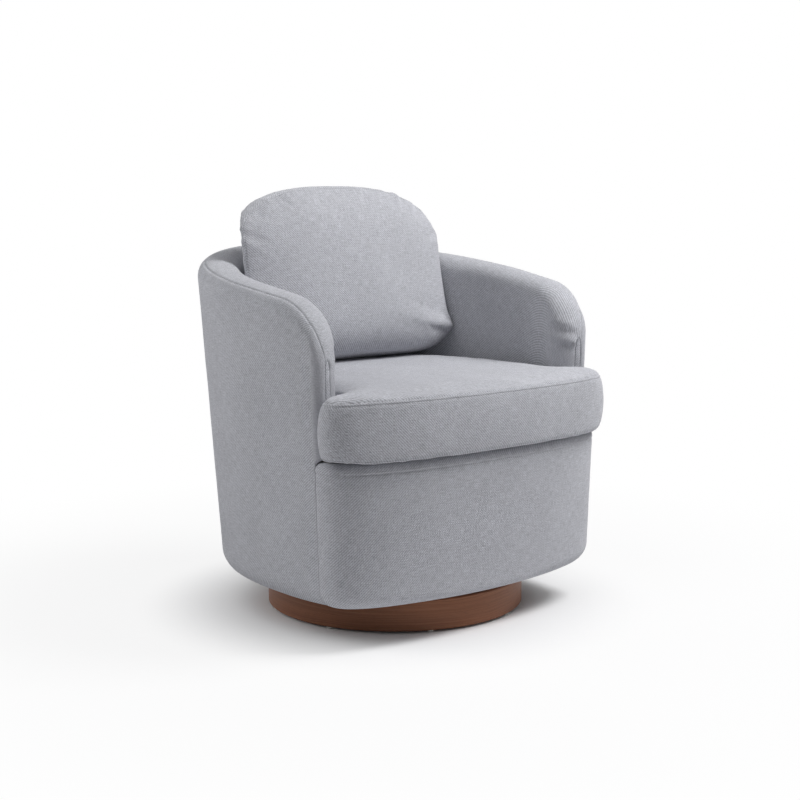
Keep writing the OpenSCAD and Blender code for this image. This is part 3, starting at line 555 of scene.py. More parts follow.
# how far across each column lies, and how far it is set back
FACING_COLUMNS = ((0, EDGE_IN), (0.02, 0.75), (0.06, 0.3), (0.16, 0.0), (0.33, -0.25), (0.5, -0.35),
                  (0.67, -0.25), (0.84, 0.0), (0.94, 0.3), (0.98, 0.75), (1, EDGE_IN))


def facing_strips(side):
    low_z, top = DECK_Z + 0.4, crown_z(0) - 0.6
    o0, o1 = OUT_R + 0.35, wall_at(0) - IN_R - 0.35
    heights = [(mix(low_z, top - CROWN_H, k / 30), 0.0) for k in range(30)]
    for k in range(15):
        a = math.pi / 2 * k / 15
        heights.append((top - CROWN_H + CROWN_H * math.sin(a) ** (2 / CROWN_POW),
                        (1 - math.cos(a) ** (2 / CROWN_POW)) / 2))
    columns = []
    for across, back in FACING_COLUMNS:
        column = []
        for z, share in heights:
            off = mix(mix(o0, o1, share), mix(o1, o0, share), across)
            column.append(wall_pt(side, mix(back, EDGE_IN, (2 * share) ** 6), off, z))
        columns.append(column)
    return columns


for side, name, node in ((1, "arm_front_right_strip", "arm_facing_left"),
                         (-1, "arm_front_left_strip", "arm_facing_right")):
    panel = lay_panel(facing_strips(side), (5, 10, (0, -1, 0)),
                      lambda i, j, p: 0.25 * wobble(p, 12, 5.5))
    facing = give_thickness(new_piece(name, panel, cover_cloth, "seat"), 0.0011)
    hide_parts(node)
    print(name, "%.4f square metres" % area_of(facing))

# %% [markdown]
# ## The front panel
# Under the seat cushion the front is one bowed panel. Its top edge is a roll of soft foam that
# is sewn to the panel about 18 mm down, its lower edge is tighter in the middle and rounder
# towards the sides, and each end is drawn into the seam with the side's cloth.

# %% Front panel
ROLL_R, ROLL_W, APRON_FRONT, APRON_POW = 14.0, 22.0, 287.0, 2.5
ROLL_SEAM = DECK_Z - ROLL_R - 4
END_Y = wall_pt(1, SEAM_BACK, 0, WIDE_Z).y - LAY


def bow_pt(a, t, z):
    half_w = wall_pt(1, SEAM_BACK + 3, 0, z).x - t
    depth = APRON_FRONT + END_Y - t - (lean_at(0, z) - lean_at(0, DECK_Z))
    return Vector((half_w * spow(math.cos(a), 2 / APRON_POW),
                   END_Y - depth * math.sin(a) ** (2 / APRON_POW), z))


def bow_strip(a, lip):
    """From the turned-in hem up the front, over the roll and in over the deck."""
    r = mix(FRONT_HEM_R, HEM_R, abs(math.cos(a)) ** 1.2)
    steps = [(mix(HEM_R + HEM_W, r, k / 4), BODY_Z) for k in range(4)]
    for k in range(9):
        w = math.pi / 2 * k / 8
        steps.append((r * (1 - math.sin(w)), BODY_Z + r * (1 - math.cos(w))))
    steps += [(0.0, mix(BODY_Z + r, ROLL_SEAM - 6, k / 30)) for k in range(1, 30)]
    for up, into in ((-6, 0.0), (-3.6, 0.05), (-1.6, 0.5), (0, 1.5), (1.6, 0.5), (3.4, -0.2)):
        steps.append((into, ROLL_SEAM + up))
    for k in range(12):
        w = math.pi / 2 * k / 11
        steps.append((ROLL_R * (1 - math.cos(w)), DECK_Z - ROLL_R + ROLL_R * math.sin(w)))
    steps += [(ROLL_W * 0.8, DECK_Z - 0.1), (ROLL_W, DECK_Z - 0.5)]
    column = []
    for t, z in steps:
        point = bow_pt(a, t + lip[0], z)
        point.y += lip[1]
        column.append(point)
    return column


bow_count = 132
bow_turns = [math.pi * (u - math.sin(4 * math.pi * u) / (4 * math.pi) * 0.55)
             for u in (k / bow_count for k in range(bow_count + 1))]
bow_lips = [(7.0, 0.5), (1.6, 0.4), (0.3, 0.1)]
bow_edge = (0.1, -0.4)
bow_columns = [(0, lip) for lip in bow_lips] + [(0.005, bow_edge)]
bow_columns += [(a, (0, 0)) for a in bow_turns if 0.014 < a < math.pi - 0.014]
bow_columns += [(math.pi - 0.005, bow_edge)] + [(math.pi, lip) for lip in reversed(bow_lips)]


def bow_relief(i, j, point):
    """A little unevenness, and puckers at the top seam and at the two side seams."""
    end = min(i, len(bow_columns) - 1 - i) - len(bow_lips) - 1
    if end < 0:
        return 0
    x, y, z = point
    high = 0.5 * wobble(point, 95, 11.0) + 0.2 * wobble(point, 38, 2.0)
    high += 0.5 * beside(abs(z - ROLL_SEAM), 7) * wobble((x, y, z * 0.2), 8, 4.0)
    return high + 0.4 * beside(end, 2.5) * wobble((0, 0, z), 9, 6.0)


front = lay_panel([bow_strip(*one) for one in bow_columns], (len(bow_columns) // 2, 20, (0, -1, 0)),
                  bow_relief)
front_cloth = give_thickness(new_piece("front_panel_cloth", front, cover_cloth, "seat"))
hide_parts("apron_cover")
print("front panel: %.3f square metres" % area_of(front_cloth))

# %% [markdown]
# ## How the cushions are made
# A cushion is a sewn case that is filled until its panels swell between their seams. A
# subdivided box would give the outline but not the tension, so each cushion is sewn and filled
# here as well. A ring of points is laid on the outline, raised ring by ring into a closed form
# a little smaller than the CAD solid, remeshed into even squares, and blown up by Blender's
# cloth with its seams pinned. Points are stopped where the arms, the deck or the other cushion
# would stop them. The puckers, the weave's map and the seams come afterwards.

# %% Sewing helpers


def sewn_form(rings):
    """A closed form through rings of points in mm, each with the same count."""
    bm = bmesh.new()
    bmesh.ops.create_circle(bm, segments=len(rings[0]), radius=1)
    bm.verts.ensure_lookup_table()
    loop = sorted(bm.verts, key=lambda v: math.atan2(v.co.y, v.co.x) % (2 * math.pi))
    edges = list(bm.edges)
    for number, ring in enumerate(rings):
        if number:
            grown = bmesh.ops.extrude_edge_only(bm, edges=edges)["geom"]
            new = {v for v in grown if isinstance(v, bmesh.types.BMVert)}
            loop = [next(e.other_vert(v) for e in v.link_edges if e.other_vert(v) in new)
                    for v in loop]
            edges = [e for e in grown if isinstance(e, bmesh.types.BMEdge)
                     and all(v in new for v in e.verts)]
        for vert, point in zip(loop, ring):
            vert.co = point * MM
    bmesh.ops.holes_fill(bm, edges=[e for e in bm.edges if e.is_boundary], sides=0)
    bmesh.ops.recalc_face_normals(bm, faces=bm.faces)
    bmesh.ops.triangulate(bm, faces=[f for f in bm.faces if len(f.verts) > 4])
    return mesh_of("form", bm)


def applied(mesh, kind, **settings):
    """The mesh after one modifier."""
    form = bpy.data.objects.new("form", mesh)
    scene.collection.objects.link(form)
    step = form.modifiers.new("step", kind)
    for name, value in settings.items():
        setattr(step, name, value)
    bpy.context.view_layer.update()
    made = bpy.data.meshes.new_from_object(
        form.evaluated_get(bpy.context.evaluated_depsgraph_get()))
    bpy.data.objects.remove(form)
    return made


FILL_FRAMES = 20
CASE_CLOTH = {"quality": 5, "mass": 0.25, "tension_stiffness": 14, "compression_stiffness": 10,
              "shear_stiffness": 6, "bending_stiffness": 0.6, "vertex_group_mass": "seams",
              "pin_stiffness": 1, "use_pressure": True}


def filled(mesh, pinned, pressure, cap):
    """Where the points of a sewn case go when cloth under pressure fills it, at most by cap."""
    start = [v.co.copy() for v in mesh.vertices]
    case = bpy.data.objects.new("case", mesh)
    scene.collection.objects.link(case)
    case.vertex_groups.new(name="seams").add(pinned, 1.0, "REPLACE")
    cloth = case.modifiers.new("filling", "CLOTH")
    for name, value in CASE_CLOTH.items():
        setattr(cloth.settings, name, value)
    cloth.settings.uniform_pressure_force = pressure
    cloth.settings.effector_weights.gravity = 0
    cloth.point_cache.frame_start = 1
    cloth.point_cache.frame_end = FILL_FRAMES
    for frame_number in range(1, FILL_FRAMES + 1):
        scene.frame_set(frame_number)
    done = case.evaluated_get(bpy.context.evaluated_depsgraph_get()).to_mesh()
    ends = []
    for begin, vert in zip(start, done.vertices):
        move = vert.co - begin
        if move.length > cap:
            move *= cap / move.length
        ends.append(begin + move)
    bpy.data.objects.remove(case)
    scene.frame_set(1)
    return ends


def even(points, count, closed=True):
    """The same line with its points evenly spaced."""
    line = list(points) + ([points[0]] if closed else [])
    far = [0.0]
    for a, b in zip(line, line[1:]):
        far.append(far[-1] + (b - a).length)
    out, k = [], 0
    for n in range(count):
        want = far[-1] * n / (count if closed else count - 1)
        while k < len(far) - 2 and far[k + 1] < want:
            k += 1
        span = far[k + 1] - far[k]
        out.append(line[k].lerp(line[k + 1], (want - far[k]) / span if span else 0))
    return out


def both_sides(half, count):
    """A closed outline from its right half."""
    half = even(half, count // 2 + 1, closed=False)
    return half + [Vector((-p.x, p.y, p.z)) for p in half[-2:0:-1]]


def girth_of(line):
    return sum((b - a).length for a, b in zip(line, line[1:] + line[:1])) * MM


def relieve(mesh, amount):
    """Moves each point along its normal by amount(point in mm) mm."""
    normals = [v.normal.copy() for v in mesh.vertices]
    for vert, normal in zip(mesh.vertices, normals):
        vert.co += normal * amount(vert.co / MM) * MM
    mesh.update()


def map_cloth(mesh, girth, panel_of):
    """Lays the weave's map. panel_of(centre of a face) gives a function from point to (u, v),
    and girth is the length after which u starts again, round the band."""
    layer = mesh.uv_layers.new(name="cloth")
    values = [0.0] * (2 * len(mesh.loops))
    for face in mesh.polygons:
        flat = panel_of(face.center)
        base = None
        for loop in face.loop_indices:
            u, v = flat(mesh.vertices[mesh.loops[loop].vertex_index].co)
            if base is None:
                base = u
            elif abs(u - base) > girth / 2:
                u += math.copysign(girth, base - u)
            values[2 * loop:2 * loop + 2] = u, v
    layer.data.foreach_set("uv", values)


print("sewing helpers ready")

# %% [markdown]
# ## The seat cushion
# It is T-shaped: behind, it fills the round well between the arms, and in front its two ears
# reach across the arm fronts. A band runs round it between two stitched seams, and its top
# swells into a low crown. The band has hardly any play between the arms, so the filled case is
# stopped at the outline there, and may stand out by a few millimetres at the open front.

# %% Seat cushion: outline
SEAT_W, SEAT_FRONT, SEAT_BAND, SEAT_CROWN, SEAT_GAP, EAR_R = 692.0, 302.0, 106.0, 20.0, 2.0, 20.0
SHRINK, SEAM_IN, SEAM_POINTS, FRONT_POW = 2.0, 4.7, 720, 2.3
SEAT_Z = DECK_Z + LAY
SEAM_LO = SEAT_Z + CLOTH_T + LAY
SEAM_HI = SEAM_LO + SEAT_BAND
EAR_MID = ARM_FRONT + EAR_R + SEAT_GAP
SEAT_MIDDLE = Vector((0, -ARM_FRONT - IN_R, 0))


def seat_outline(t, z, count=360):
    """The T-shaped outline, drawn in by t, with even points from the middle of the front."""
    half = []
    a, b = SEAT_W / 2 - t, SEAT_FRONT - EAR_MID - t
    for k in range(41):
        w = math.pi / 2 * (1 - k / 40)
        half.append(Vector((a * spow(math.cos(w), 2 / FRONT_POW),
                            -EAR_MID - b * math.sin(w) ** (2 / FRONT_POW), z)))
    r = max(EAR_R - t, 0.3)
    ear_y = -ARM_FRONT - SEAT_GAP - t
    for k in range(1, 9):
        w = math.pi / 2 * k / 8
        half.append(Vector((a - r * (1 - math.cos(w)), ear_y - r * (1 - math.sin(w)), z)))
    notch_x = wall_pt(1, IN_R, wall_at(IN_R), z).x + IN_R
    notch_r = IN_R + SEAT_GAP + t
    for k in range(9):
        w = math.pi * 1.5 - math.pi / 2 * k / 8
        half.append(Vector((notch_x + notch_r * math.cos(w),
                            IN_R - ARM_FRONT + notch_r * math.sin(w), z)))
    back_r = BODY_R - lean_at(HALF_LEN, z) - WALL_T - SEAT_GAP - t
    for k in range(33):
        w = math.pi / 2 * k / 32
        half.append(Vector((back_r * math.cos(w), BACK_Y + back_r * math.sin(w), z)))
    return both_sides(half, count)


def seat_seam(z):
    return seat_outline(SEAM_IN, z, SEAM_POINTS)


def toward_middle(ring, share, z):
    return [Vector((mix(p.x, SEAT_MIDDLE.x, share), mix(p.y, SEAT_MIDDLE.y, share), z))
            for p in ring]


edge_ring = seat_outline(19 + SHRINK, SEAM_HI)
seat_rings = [toward_middle(seat_outline(5 + SHRINK, SEAM_LO), 0.05, SEAM_LO)]
for drawn_in, z in ((3, SEAM_LO), (0.8, SEAM_LO + 5), (0, SEAM_LO + 14), (-1, (SEAM_LO + SEAM_HI) / 2),
                    (0, SEAM_HI - 14), (0.8, SEAM_HI - 5), (2.5, SEAM_HI), (3.5, SEAM_HI + 4),
                    (6.5, SEAM_HI + 8.5), (11.5, SEAM_HI + 12)):
    seat_rings.append(seat_outline(drawn_in + SHRINK, z))
for share, rise in ((0, 14.4), (0.05, 15.6), (0.1, 16.4), (0.2, 17.2), (0.4, 17.8), (0.6, 18.1),
                    (0.8, 18.3)):
    seat_rings.append(toward_middle(edge_ring, share, SEAM_HI + rise))
seat_case = applied(sewn_form(seat_rings), "REMESH", mode="VOXEL", voxel_size=0.0064)
print("seat case:", len(seat_case.vertices), "points")

# %% Seat cushion: filling
PINNED_NEAR = 0.0045
seam_trees = [tree_of([p * MM for p in seat_seam(z)]) for z in (SEAM_LO, SEAM_HI)]
pinned = [v.index for v in seat_case.vertices
          if min(tree.find(v.co)[2] for tree in seam_trees) < PINNED_NEAR
          or v.co.z < (SEAM_LO + 3) * MM]
ends = filled(seat_case, pinned, 5.0, 0.014)
low_line, high_line = (seat_outline(0, z, SEAM_POINTS) for z in (SEAM_LO, SEAM_HI))
low_tree, high_tree = (tree_of([(p.x * MM, p.y * MM, 0) for p in line])
                       for line in (low_line, high_line))


def outside(tree, outline, point):
    """How far, in mm, a point lies outside an outline seen from above, and the way out."""
    _, k, _ = tree.find((point.x, point.y, 0))
    a, b = outline[k - 1], outline[(k + 1) % len(outline)]
    out = Vector((b.y - a.y, a.x - b.x, 0)).normalized()
    flat = Vector((point.x / MM - outline[k].x, point.y / MM - outline[k].y, 0))
    return flat.dot(out), out


STOP_DEPTH, PLAY, FRONT_PLAY = 3, 0.6, 4.5
SOFT_STOP = SEAM_HI + SEAT_CROWN - 0.3 - STOP_DEPTH


def held_seat(point):
    """Stops a point of the seat cushion at the arms, the deck and the back cushion."""
    share = clamp01((point.z / MM - SEAM_LO) / SEAT_BAND)
    low, out = outside(low_tree, low_line, point)
    high, _ = outside(high_tree, high_line, point)
    far = mix(low, high, share)
    room = FRONT_PLAY * ease((-ARM_FRONT - 12 - point.y / MM) / 20) + PLAY
    if far > room:
        point = point - out * (far - room) * MM
    point.z = max(point.z, (SEAT_Z + 0.2) * MM)
    over = point.z / MM - SOFT_STOP
    if over > 0:
        point.z = (SOFT_STOP + STOP_DEPTH * (1 - math.exp(-over / STOP_DEPTH))) * MM
    return point


EAR_MIDDLE = Vector((240.0, -235.0, 0))
EAR_TUCK, EAR_LIFT, EAR_DROP, EAR_OUT, EAR_FROM, EAR_RUN = 7.0, 5.0, -2.0, 6.0, 272, 66


def round_ear(point):
    """Draws the ends of the ears in towards both seams. The cushion sits a little to the left."""
    p = point / MM
    share = ease((abs(p.x) - EAR_FROM) / EAR_RUN) * ease((-ARM_FRONT + 14 - p.y) / 18)
    high = max(-1.1, min(1.2, (p.z - (SEAM_LO + SEAM_HI) / 2) / (SEAT_BAND / 2)))
    away = Vector((abs(p.x) - EAR_MIDDLE.x, p.y - EAR_MIDDLE.y, 0)).normalized()
    tuck = EAR_TUCK * high * high - (EAR_OUT if p.x < 0 else 0)
    p -= Vector((math.copysign(away.x, p.x), away.y, 0)) * tuck * share
    p.z += share * high * high * (EAR_LIFT if high < 0 else EAR_DROP)
    return p * MM


for vert, end in zip(seat_case.vertices, ends):
    vert.co = round_ear(held_seat(end))
print("seat crown reaches %.1f mm" % (max(v.co.z for v in seat_case.vertices) / MM))
seat_fine = applied(seat_case, "SUBSURF", levels=1, render_levels=1)

# %% Seat cushion: puckers and the weave's map
top_seam, low_seam = (tree_of([round_ear(p * MM) for p in seat_seam(z)]) for z in (SEAM_HI, SEAM_LO))
seat_girth = girth_of(high_line)


def seat_relief(p):
    """Unevenness, and puckers and a groove at both seams, in mm."""
    _, k, gap = top_seam.find(p * MM)
    _, low_k, low_gap = low_seam.find(p * MM)
    gap, low_gap = gap / MM, low_gap / MM
    high = 0.7 * wobble(p, 120, 2.0) + 0.3 * wobble(p, 48, 8.0)
    high += 0.8 * beside(gap, 9) * noise.noise(Vector((k * 0.33, 1.7, 0)))
    high += 0.6 * beside(low_gap, 9) * noise.noise(Vector((low_k * 0.33, 9.2, 0)))
    return high - crease(gap, 4.5) - 0.9 * crease(low_gap, 4.5)


def seat_panel(centre):
    if low_seam.find(centre)[0].z + 0.5 * MM <= centre.z <= top_seam.find(centre)[0].z - 0.5 * MM:
        return lambda p: (high_tree.find((p.x, p.y, 0))[1] / SEAM_POINTS * seat_girth, p.z)
    return lambda p: (p.x, p.y)


relieve(seat_fine, seat_relief)
map_cloth(seat_fine, seat_girth, seat_panel)
seat_cushion = show("seat_cushion_case", seat_fine, cover_cloth, "seat_cushion")
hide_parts("seat_cushion_cover", "seat_cushion_base_cloth", "seat_cushion_core")
print("seat cushion:", len(seat_fine.polygons), "faces")

# %% [markdown]
# ## The seat cushion's seams
# Both seams of the seat cushion show as a fine raised band between two dark lines, less than
# 5 mm wide: the panels are sewn together, laid over and stitched down once more. A bump in the
# weave could only shade that. So each seam is a flat tube that is laid point by point on the
# finished surface, sinks in a little at each stitch and throws the two fine shadows itself.

# %% A stitched seam


def surface_of(mesh):
    return BVHTree.FromPolygons([v.co for v in mesh.vertices], [f.vertices for f in mesh.polygons])


SUNK, TUBE_SIDES, STITCHES = 0.5, 12, 60


def seam_ridge(name, line, surface, wide, proud, body, seed=0.0):
    """A closed flat tube on a line over a surface, all in metres but wide and proud, in mm."""
    count = len(line)
    spots = [surface.find_nearest(p)[:2] for p in line]
    tube = []
    for k in range(count + 1):
        spot, normal = spots[k % count]
        ahead = (spots[(k + 1) % count][0] - spots[(k - 1) % count][0]).normalized()
        out = (normal - ahead * normal.dot(ahead)).normalized()
        up = ahead.cross(out)
        turn = 2 * math.pi * k / count
        place = Vector((math.cos(turn) * STITCHES, math.sin(turn) * STITCHES, seed))
        fat = 1 + 0.22 * noise.noise(place)
        rise = proud * fat - SUNK
        round_it = (2 * math.pi * n / TUBE_SIDES for n in range(TUBE_SIDES + 1))
        tube.append([spot / MM + out * (rise + math.sin(a) * proud * 0.9)
                     + up * (math.cos(a) * wide * fat) for a in round_it])
    bm = lay_panel(tube, (3, 3, tube[3][3] - spots[3][0] / MM), weld=True)
    piece = new_piece(name, bm, cover_cloth, body)
    return piece


seat_surface = surface_of(seat_fine)
for name, z in (("seat_cushion_upper_seam", SEAM_HI), ("seat_cushion_lower_seam", SEAM_LO + 1.0)):
    line = even([round_ear(p * MM) for p in seat_seam(z)], 560)
    piece = seam_ridge(name, line, seat_surface, 2.3, 0.8, "seat_cushion", seed=z)
    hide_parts("seat_cushion_cover")
print("seams: %.2f m round" % seat_girth)

# %% [markdown]
# ## The back cushion
# A soft pillow in the shape of a D with its arch upwards. It stands on the seat cushion, leans
# on the inside of the back and rises above the rim. Its front face is full, a band gathers
# round its arch, and low down at each side the front face ends in a small pointed corner. Along
# its lower edge it is pulled under. It is sewn and filled in the same way, with more slack, and
# its gathers are moved in afterwards.

# %% Back cushion: outline and rings
BACK_H, ARCH, ARCH_POW, BACK_D, BACK_LEAN = 346.0, 118.0, 2.5, 181.0, math.radians(12)
BULGE, BAND, TOP_BAND, TIP_X, ARCH_X = 38.0, 120.0, 40.0, 256.0, 248.0
LOW_REACH, LOW_LIFT, UNDERCUT, CORNER_ROOM, ARCH_FROM = 60.0, 8.0, 22.0, 14.0, 90
SLACK, BACK_POINTS = 2.0, 600
BACK_Z0 = SEAM_HI + SEAT_CROWN + LAY
BACK_MID = BACK_Z0 + BACK_H - ARCH
BACK_TIP = Vector((0, 0, mix(BACK_Z0, BACK_MID, 0.46)))


def wall_y(x, z, t):
    """Where the inside of the back lies, or a layer t in front of it."""
    r = BODY_R - lean_at(HALF_LEN, z) - WALL_T - 1 - t
    return BACK_Y + math.sqrt(max(0, r * r - x * x))


def edge_y(z):
    """The plane of the front face's edge, which leans back."""
    return wall_y(0, BACK_Z0, 0) - BACK_D + (z - BACK_Z0) * math.tan(BACK_LEAN)


def rear_y(x, z, t):
    """The rear face: on the wall up to the rim, then nearer and nearer to the front face."""
    wall, top = wall_y(x, z, t), BACK_Z0 + BACK_H
    return mix(wall, min(wall, edge_y(z) + TOP_BAND * 1.4 - t),
               clamp01((z - RIM_Z) / (top - RIM_Z)) ** 0.8)


def band_y(p, t):
    """The rear edge of the band, which is deep below and narrow over the arch."""
    deep = mix(BAND, TOP_BAND, clamp01((p.z - BACK_Z0) / BACK_H) ** 0.5)
    return min(edge_y(p.z) - t + deep, rear_y(p.x, p.z, t))


def back_outline(t, count=300):
    """The D seen from the front, from the middle of its lower edge."""
    half = [Vector((x, 0, BACK_Z0)) for x in (0, 50, 100, 145)]
    for x, up in ((170, 1), (198, 4), (223, 11), (241, 22), (250, 34), (254, 46), (TIP_X, 53),
                  (TIP_X, 59), (TIP_X - 2, 70), (TIP_X - 5, 87)):
        half.append(Vector((x, 0, BACK_Z0 + up)))
    for k in range(1, 8):
        u = k / 8
        half.append(Vector((mix(TIP_X - 5, ARCH_X, math.sin(math.pi / 2 * u)), 0,
                            mix(BACK_Z0 + ARCH_FROM, BACK_MID, u))))
    for k in range(29):
        w = math.pi / 2 * k / 28
        half.append(Vector((ARCH_X * spow(math.cos(w), 2 / ARCH_POW), 0,
                            BACK_MID + ARCH * math.sin(w) ** (2 / ARCH_POW))))
    return both_sides([p - (p - BACK_TIP).normalized() * t for p in half], count)


def dome_share(s):
    return math.sqrt(1 - (1 - s) ** 2)


def low_part(p):
    """1 at the lower edge and 0 from LOW_REACH up."""
    return ease(1 - (p.z - BACK_Z0) / LOW_REACH)


def seam_y(p, z):
    """The front seam: always far enough from the wall to leave room for a band."""
    return min(edge_y(z) + SLACK, wall_y(p.x, p.z, 0) - CORNER_ROOM) + UNDERCUT * low_part(p)


back_ring = back_outline(SLACK)


def front_face_ring(share):
    ring = []
    for p in back_ring:
        q = p.lerp(BACK_TIP, share)
        q.z += LOW_LIFT * low_part(p) * (1 - share)
        face = edge_y(q.z) + SLACK - (BULGE - 2)
        ring.append(Vector((q.x, mix(seam_y(p, q.z), face, dome_share(share)), q.z)))
    return ring


def rear_face_ring(share):
    ring = []
    for p in back_ring:
        q = p.lerp(BACK_TIP, share)
        rear = rear_y(q.x, q.z, SLACK)
        ring.append(Vector((q.x, mix(band_y(p, SLACK), rear, dome_share(share)), q.z)))
    return ring


def band_ring(share):
    return [Vector((p.x, mix(seam_y(p, p.z), band_y(p, SLACK), share), p.z))
            for p in back_outline(SLACK - 2.5 * math.sin(math.pi * share))]


shares = (0, 0.03, 0.08, 0.15, 0.25, 0.4, 0.6, 0.8)
back_rings = [front_face_ring(s) for s in reversed(shares)]
back_rings += [band_ring(s) for s in (0.2, 0.5, 0.8)] + [rear_face_ring(s) for s in shares]
back_case = applied(sewn_form(back_rings), "REMESH", mode="VOXEL", voxel_size=0.0056)
print("back case:", len(back_case.vertices), "points")

# %% Back cushion: filling
front_seam, rear_seam = (tree_of([p * MM for p in even(ring, BACK_POINTS)])
                         for ring in (front_face_ring(0), rear_face_ring(0)))
pinned = [v.index for v in back_case.vertices
          if min(tree.find(v.co)[2] for tree in (front_seam, rear_seam)) < 0.004]
ends = filled(back_case, pinned, 4.0, 0.016)


def held_back(point):
    """Stops a point of the back cushion at the wall behind it and at the seat below."""
    x, z = point.x / MM, point.z / MM
    point.z = max(point.z, (BACK_Z0 + 0.2) * MM)
    if z < RIM_Z + 60:
        away = Vector((x, point.y / MM - BACK_Y, 0))
        room = BODY_R - lean_at(HALF_LEN, z) - WALL_T - 1.4
        if away.y > 0 and away.length > room:
            away *= room / away.length
            point.x, point.y = away.x * MM, (away.y + BACK_Y) * MM
    point.x = max(-(TIP_X + 3) * MM, min((TIP_X + 3) * MM, point.x))
    return point


for vert, end in zip(back_case.vertices, ends):
    vert.co = held_back(end)
back_fine = applied(back_case, "SUBSURF", levels=1, render_levels=1)
print("back cushion reaches %.1f mm" % (max(v.co.z for v in back_fine.vertices) / MM))

# %% Back cushion: gathers and the weave's map
DART, DART_DEPTH, GATHERS, EDGE_PUCKERS = Vector((-205, 0, 762)), 2.6, 3.0, 0.8
back_line = even([Vector((p.x, 0, p.z)) for p in back_outline(0)], BACK_POINTS)
back_tree = tree_of([p * MM for p in back_line])
back_girth = girth_of(back_line)


def back_relief(p):
    """Unevenness, gathers along the arch, a dart at its left and a groove at both seams, in mm."""
    _, k, gap = front_seam.find(p * MM)
    _, rear_k, rear_gap = rear_seam.find(p * MM)
    gap, rear_gap = gap / MM, rear_gap / MM
    high = 1.0 * wobble(p, 130, 5.0) + 0.45 * wobble(p, 52, 1.0)
    arch = ease((p.z - BACK_MID + 10) / 60) * ease((abs(p.x) - 70) / 80)
    gathers = noise.noise(Vector((k * 0.155, 3.3, 0)))
    high += (EDGE_PUCKERS + GATHERS * arch) * beside(gap, 9 + 9 * arch) * gathers
    high -= DART_DEPTH * crease(Vector((p.x - DART.x, 0, p.z - DART.z)).length, 9)
    high += 0.7 * beside(rear_gap, 9) * noise.noise(Vector((rear_k * 0.28, 6.1, 0)))
    return high - 1.1 * crease(gap, 3.0) - 0.8 * crease(rear_gap, 3.0)


def back_panel(centre):
    spot = centre / MM
    seam, far_seam = edge_y(spot.z) + 1.5, band_y(Vector((spot.x, 0, spot.z)), 0) + 1
    if seam <= centre.y / MM <= far_seam:
        return lambda p: (back_tree.find((p.x, 0, p.z))[1] / BACK_POINTS * back_girth, p.y)
    return lambda p: (p.x, p.z)


relieve(back_fine, back_relief)
map_cloth(back_fine, back_girth, back_panel)
back_cushion = show("back_cushion_case", back_fine, cover_cloth, "back_cushion")
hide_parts("back_cushion_front", "back_cushion_rear", "back_cushion_filling")
print("back cushion:", len(back_fine.polygons), "faces")

# %% [markdown]
# ## The back cushion's seam
# One seam joins the front face to the band, all the way round. It is laid on the filled case like
# those of the seat, only narrower and flatter, because this cloth is sewn once and not stitched
# down again.

# %% Back cushion: seam
seam_line = even([p * MM for p in front_face_ring(0)], 420)
back_seam = seam_ridge("back_cushion_front_seam", seam_line, surface_of(back_fine), 1.9, 0.7,
                       "back_cushion", 3.0)
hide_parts("back_cushion_front")
print("back cushion's seam: %.2f m" % girth_of([p / MM for p in seam_line]))

# %% [markdown]
# ## Layers that the covers hide
# The foam, the wadding and the deck lie under the cloth. They are part of the chair, so each
# gets its own softened copy of the solid: merged, its edges rounded by a small bevel, and
# finished as what it is. Remaking them by hand would show nothing more.

# %% Soft layers


def soft_copy(node, name, material, width):
    """A copy of a solid of the seat with its edges rounded by width mm."""
    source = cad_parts[node]
    bm = bmesh.new()
    bm.from_mesh(source.data)
    bm.transform(source.matrix_world)
    bmesh.ops.remove_doubles(bm, verts=bm.verts, dist=1e-6)
    bmesh.ops.dissolve_limit(bm, angle_limit=math.radians(1), verts=bm.verts, edges=bm.edges)
    sharp = [e for e in bm.edges if e.is_manifold and e.calc_face_angle() > math.radians(35)]
    bmesh.ops.bevel(bm, geom=sharp, offset=width * MM, affect="EDGES", segments=2, profile=0.5,
                    material=-1, clamp_overlap=True)
    piece = new_piece(name, bm, material, "seat")
    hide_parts(node)
    return piece


def soft_material(name, colour, dark, roughness, cell, depth):
    """Foam, felt or wadding: fine cells in Object space."""
    material, net, _ = new_material(name, colour, roughness)
    place = net.object_space()
    cells = net.noise(place, (cell, cell, cell), 4, 0.7)
    tone = net.weighed((cells, 0.8), (net.noise(place, (14, 14, 14)), 0.3), clamp=True)
    net.finish(net.blend(tone, dark, colour), height=cells, depth=depth)
    return material


foam_finish = soft_material("foam", (0.80, 0.72, 0.50), (0.62, 0.53, 0.33), 0.95, 900, 0.0006)
wadding_finish = soft_material("wadding", (0.86, 0.86, 0.84), (0.66, 0.66, 0.65), 0.97, 420, 0.0012)
felt_finish = soft_material("felt", (0.58, 0.57, 0.54), (0.32, 0.31, 0.30), 0.97, 700, 0.0008)
for node, name, finish, slot in (("barrel_foam", "barrel_foam_layer", foam_finish, "foam"),
                                 ("arm_front_pads", "arm_front_foam", foam_finish, "foam"),
                                 ("apron_foam", "front_panel_foam", foam_finish, "foam"),
                                 ("barrel_wadding", "barrel_wadding_layer", wadding_finish, "wadding"),
                                 ("deck_pad", "deck_felt", felt_finish, "felt")):
    soft_copy(node, name, finish, 1.0)
for node, name, flat in (("deck_cloth", "deck_lining", (0.63, 0.54)),
                         ("dust_cover", "dust_cloth", (0.58, 0.53))):
    piece = soft_copy(node, name, lining_cloth, 0.3)
print("hidden layers dressed")

# %% [markdown]
# ## Walnut
# The drum's hoop is bent ply with a walnut face whose grain runs round it. Object coordinates
# alone would cut straight through the curve like a plank, so the material turns them into a
# distance round the drum and a height: the arc tangent of x and y, times the radius. Its one
# joint falls at the back, as a veneer's does. Long noise gives the growth lines, a broader one
# the darker figure, and fine dashes the open pores. A slow noise bends all three a little.

# %% Walnut veneer
DRUM_R = 0.25


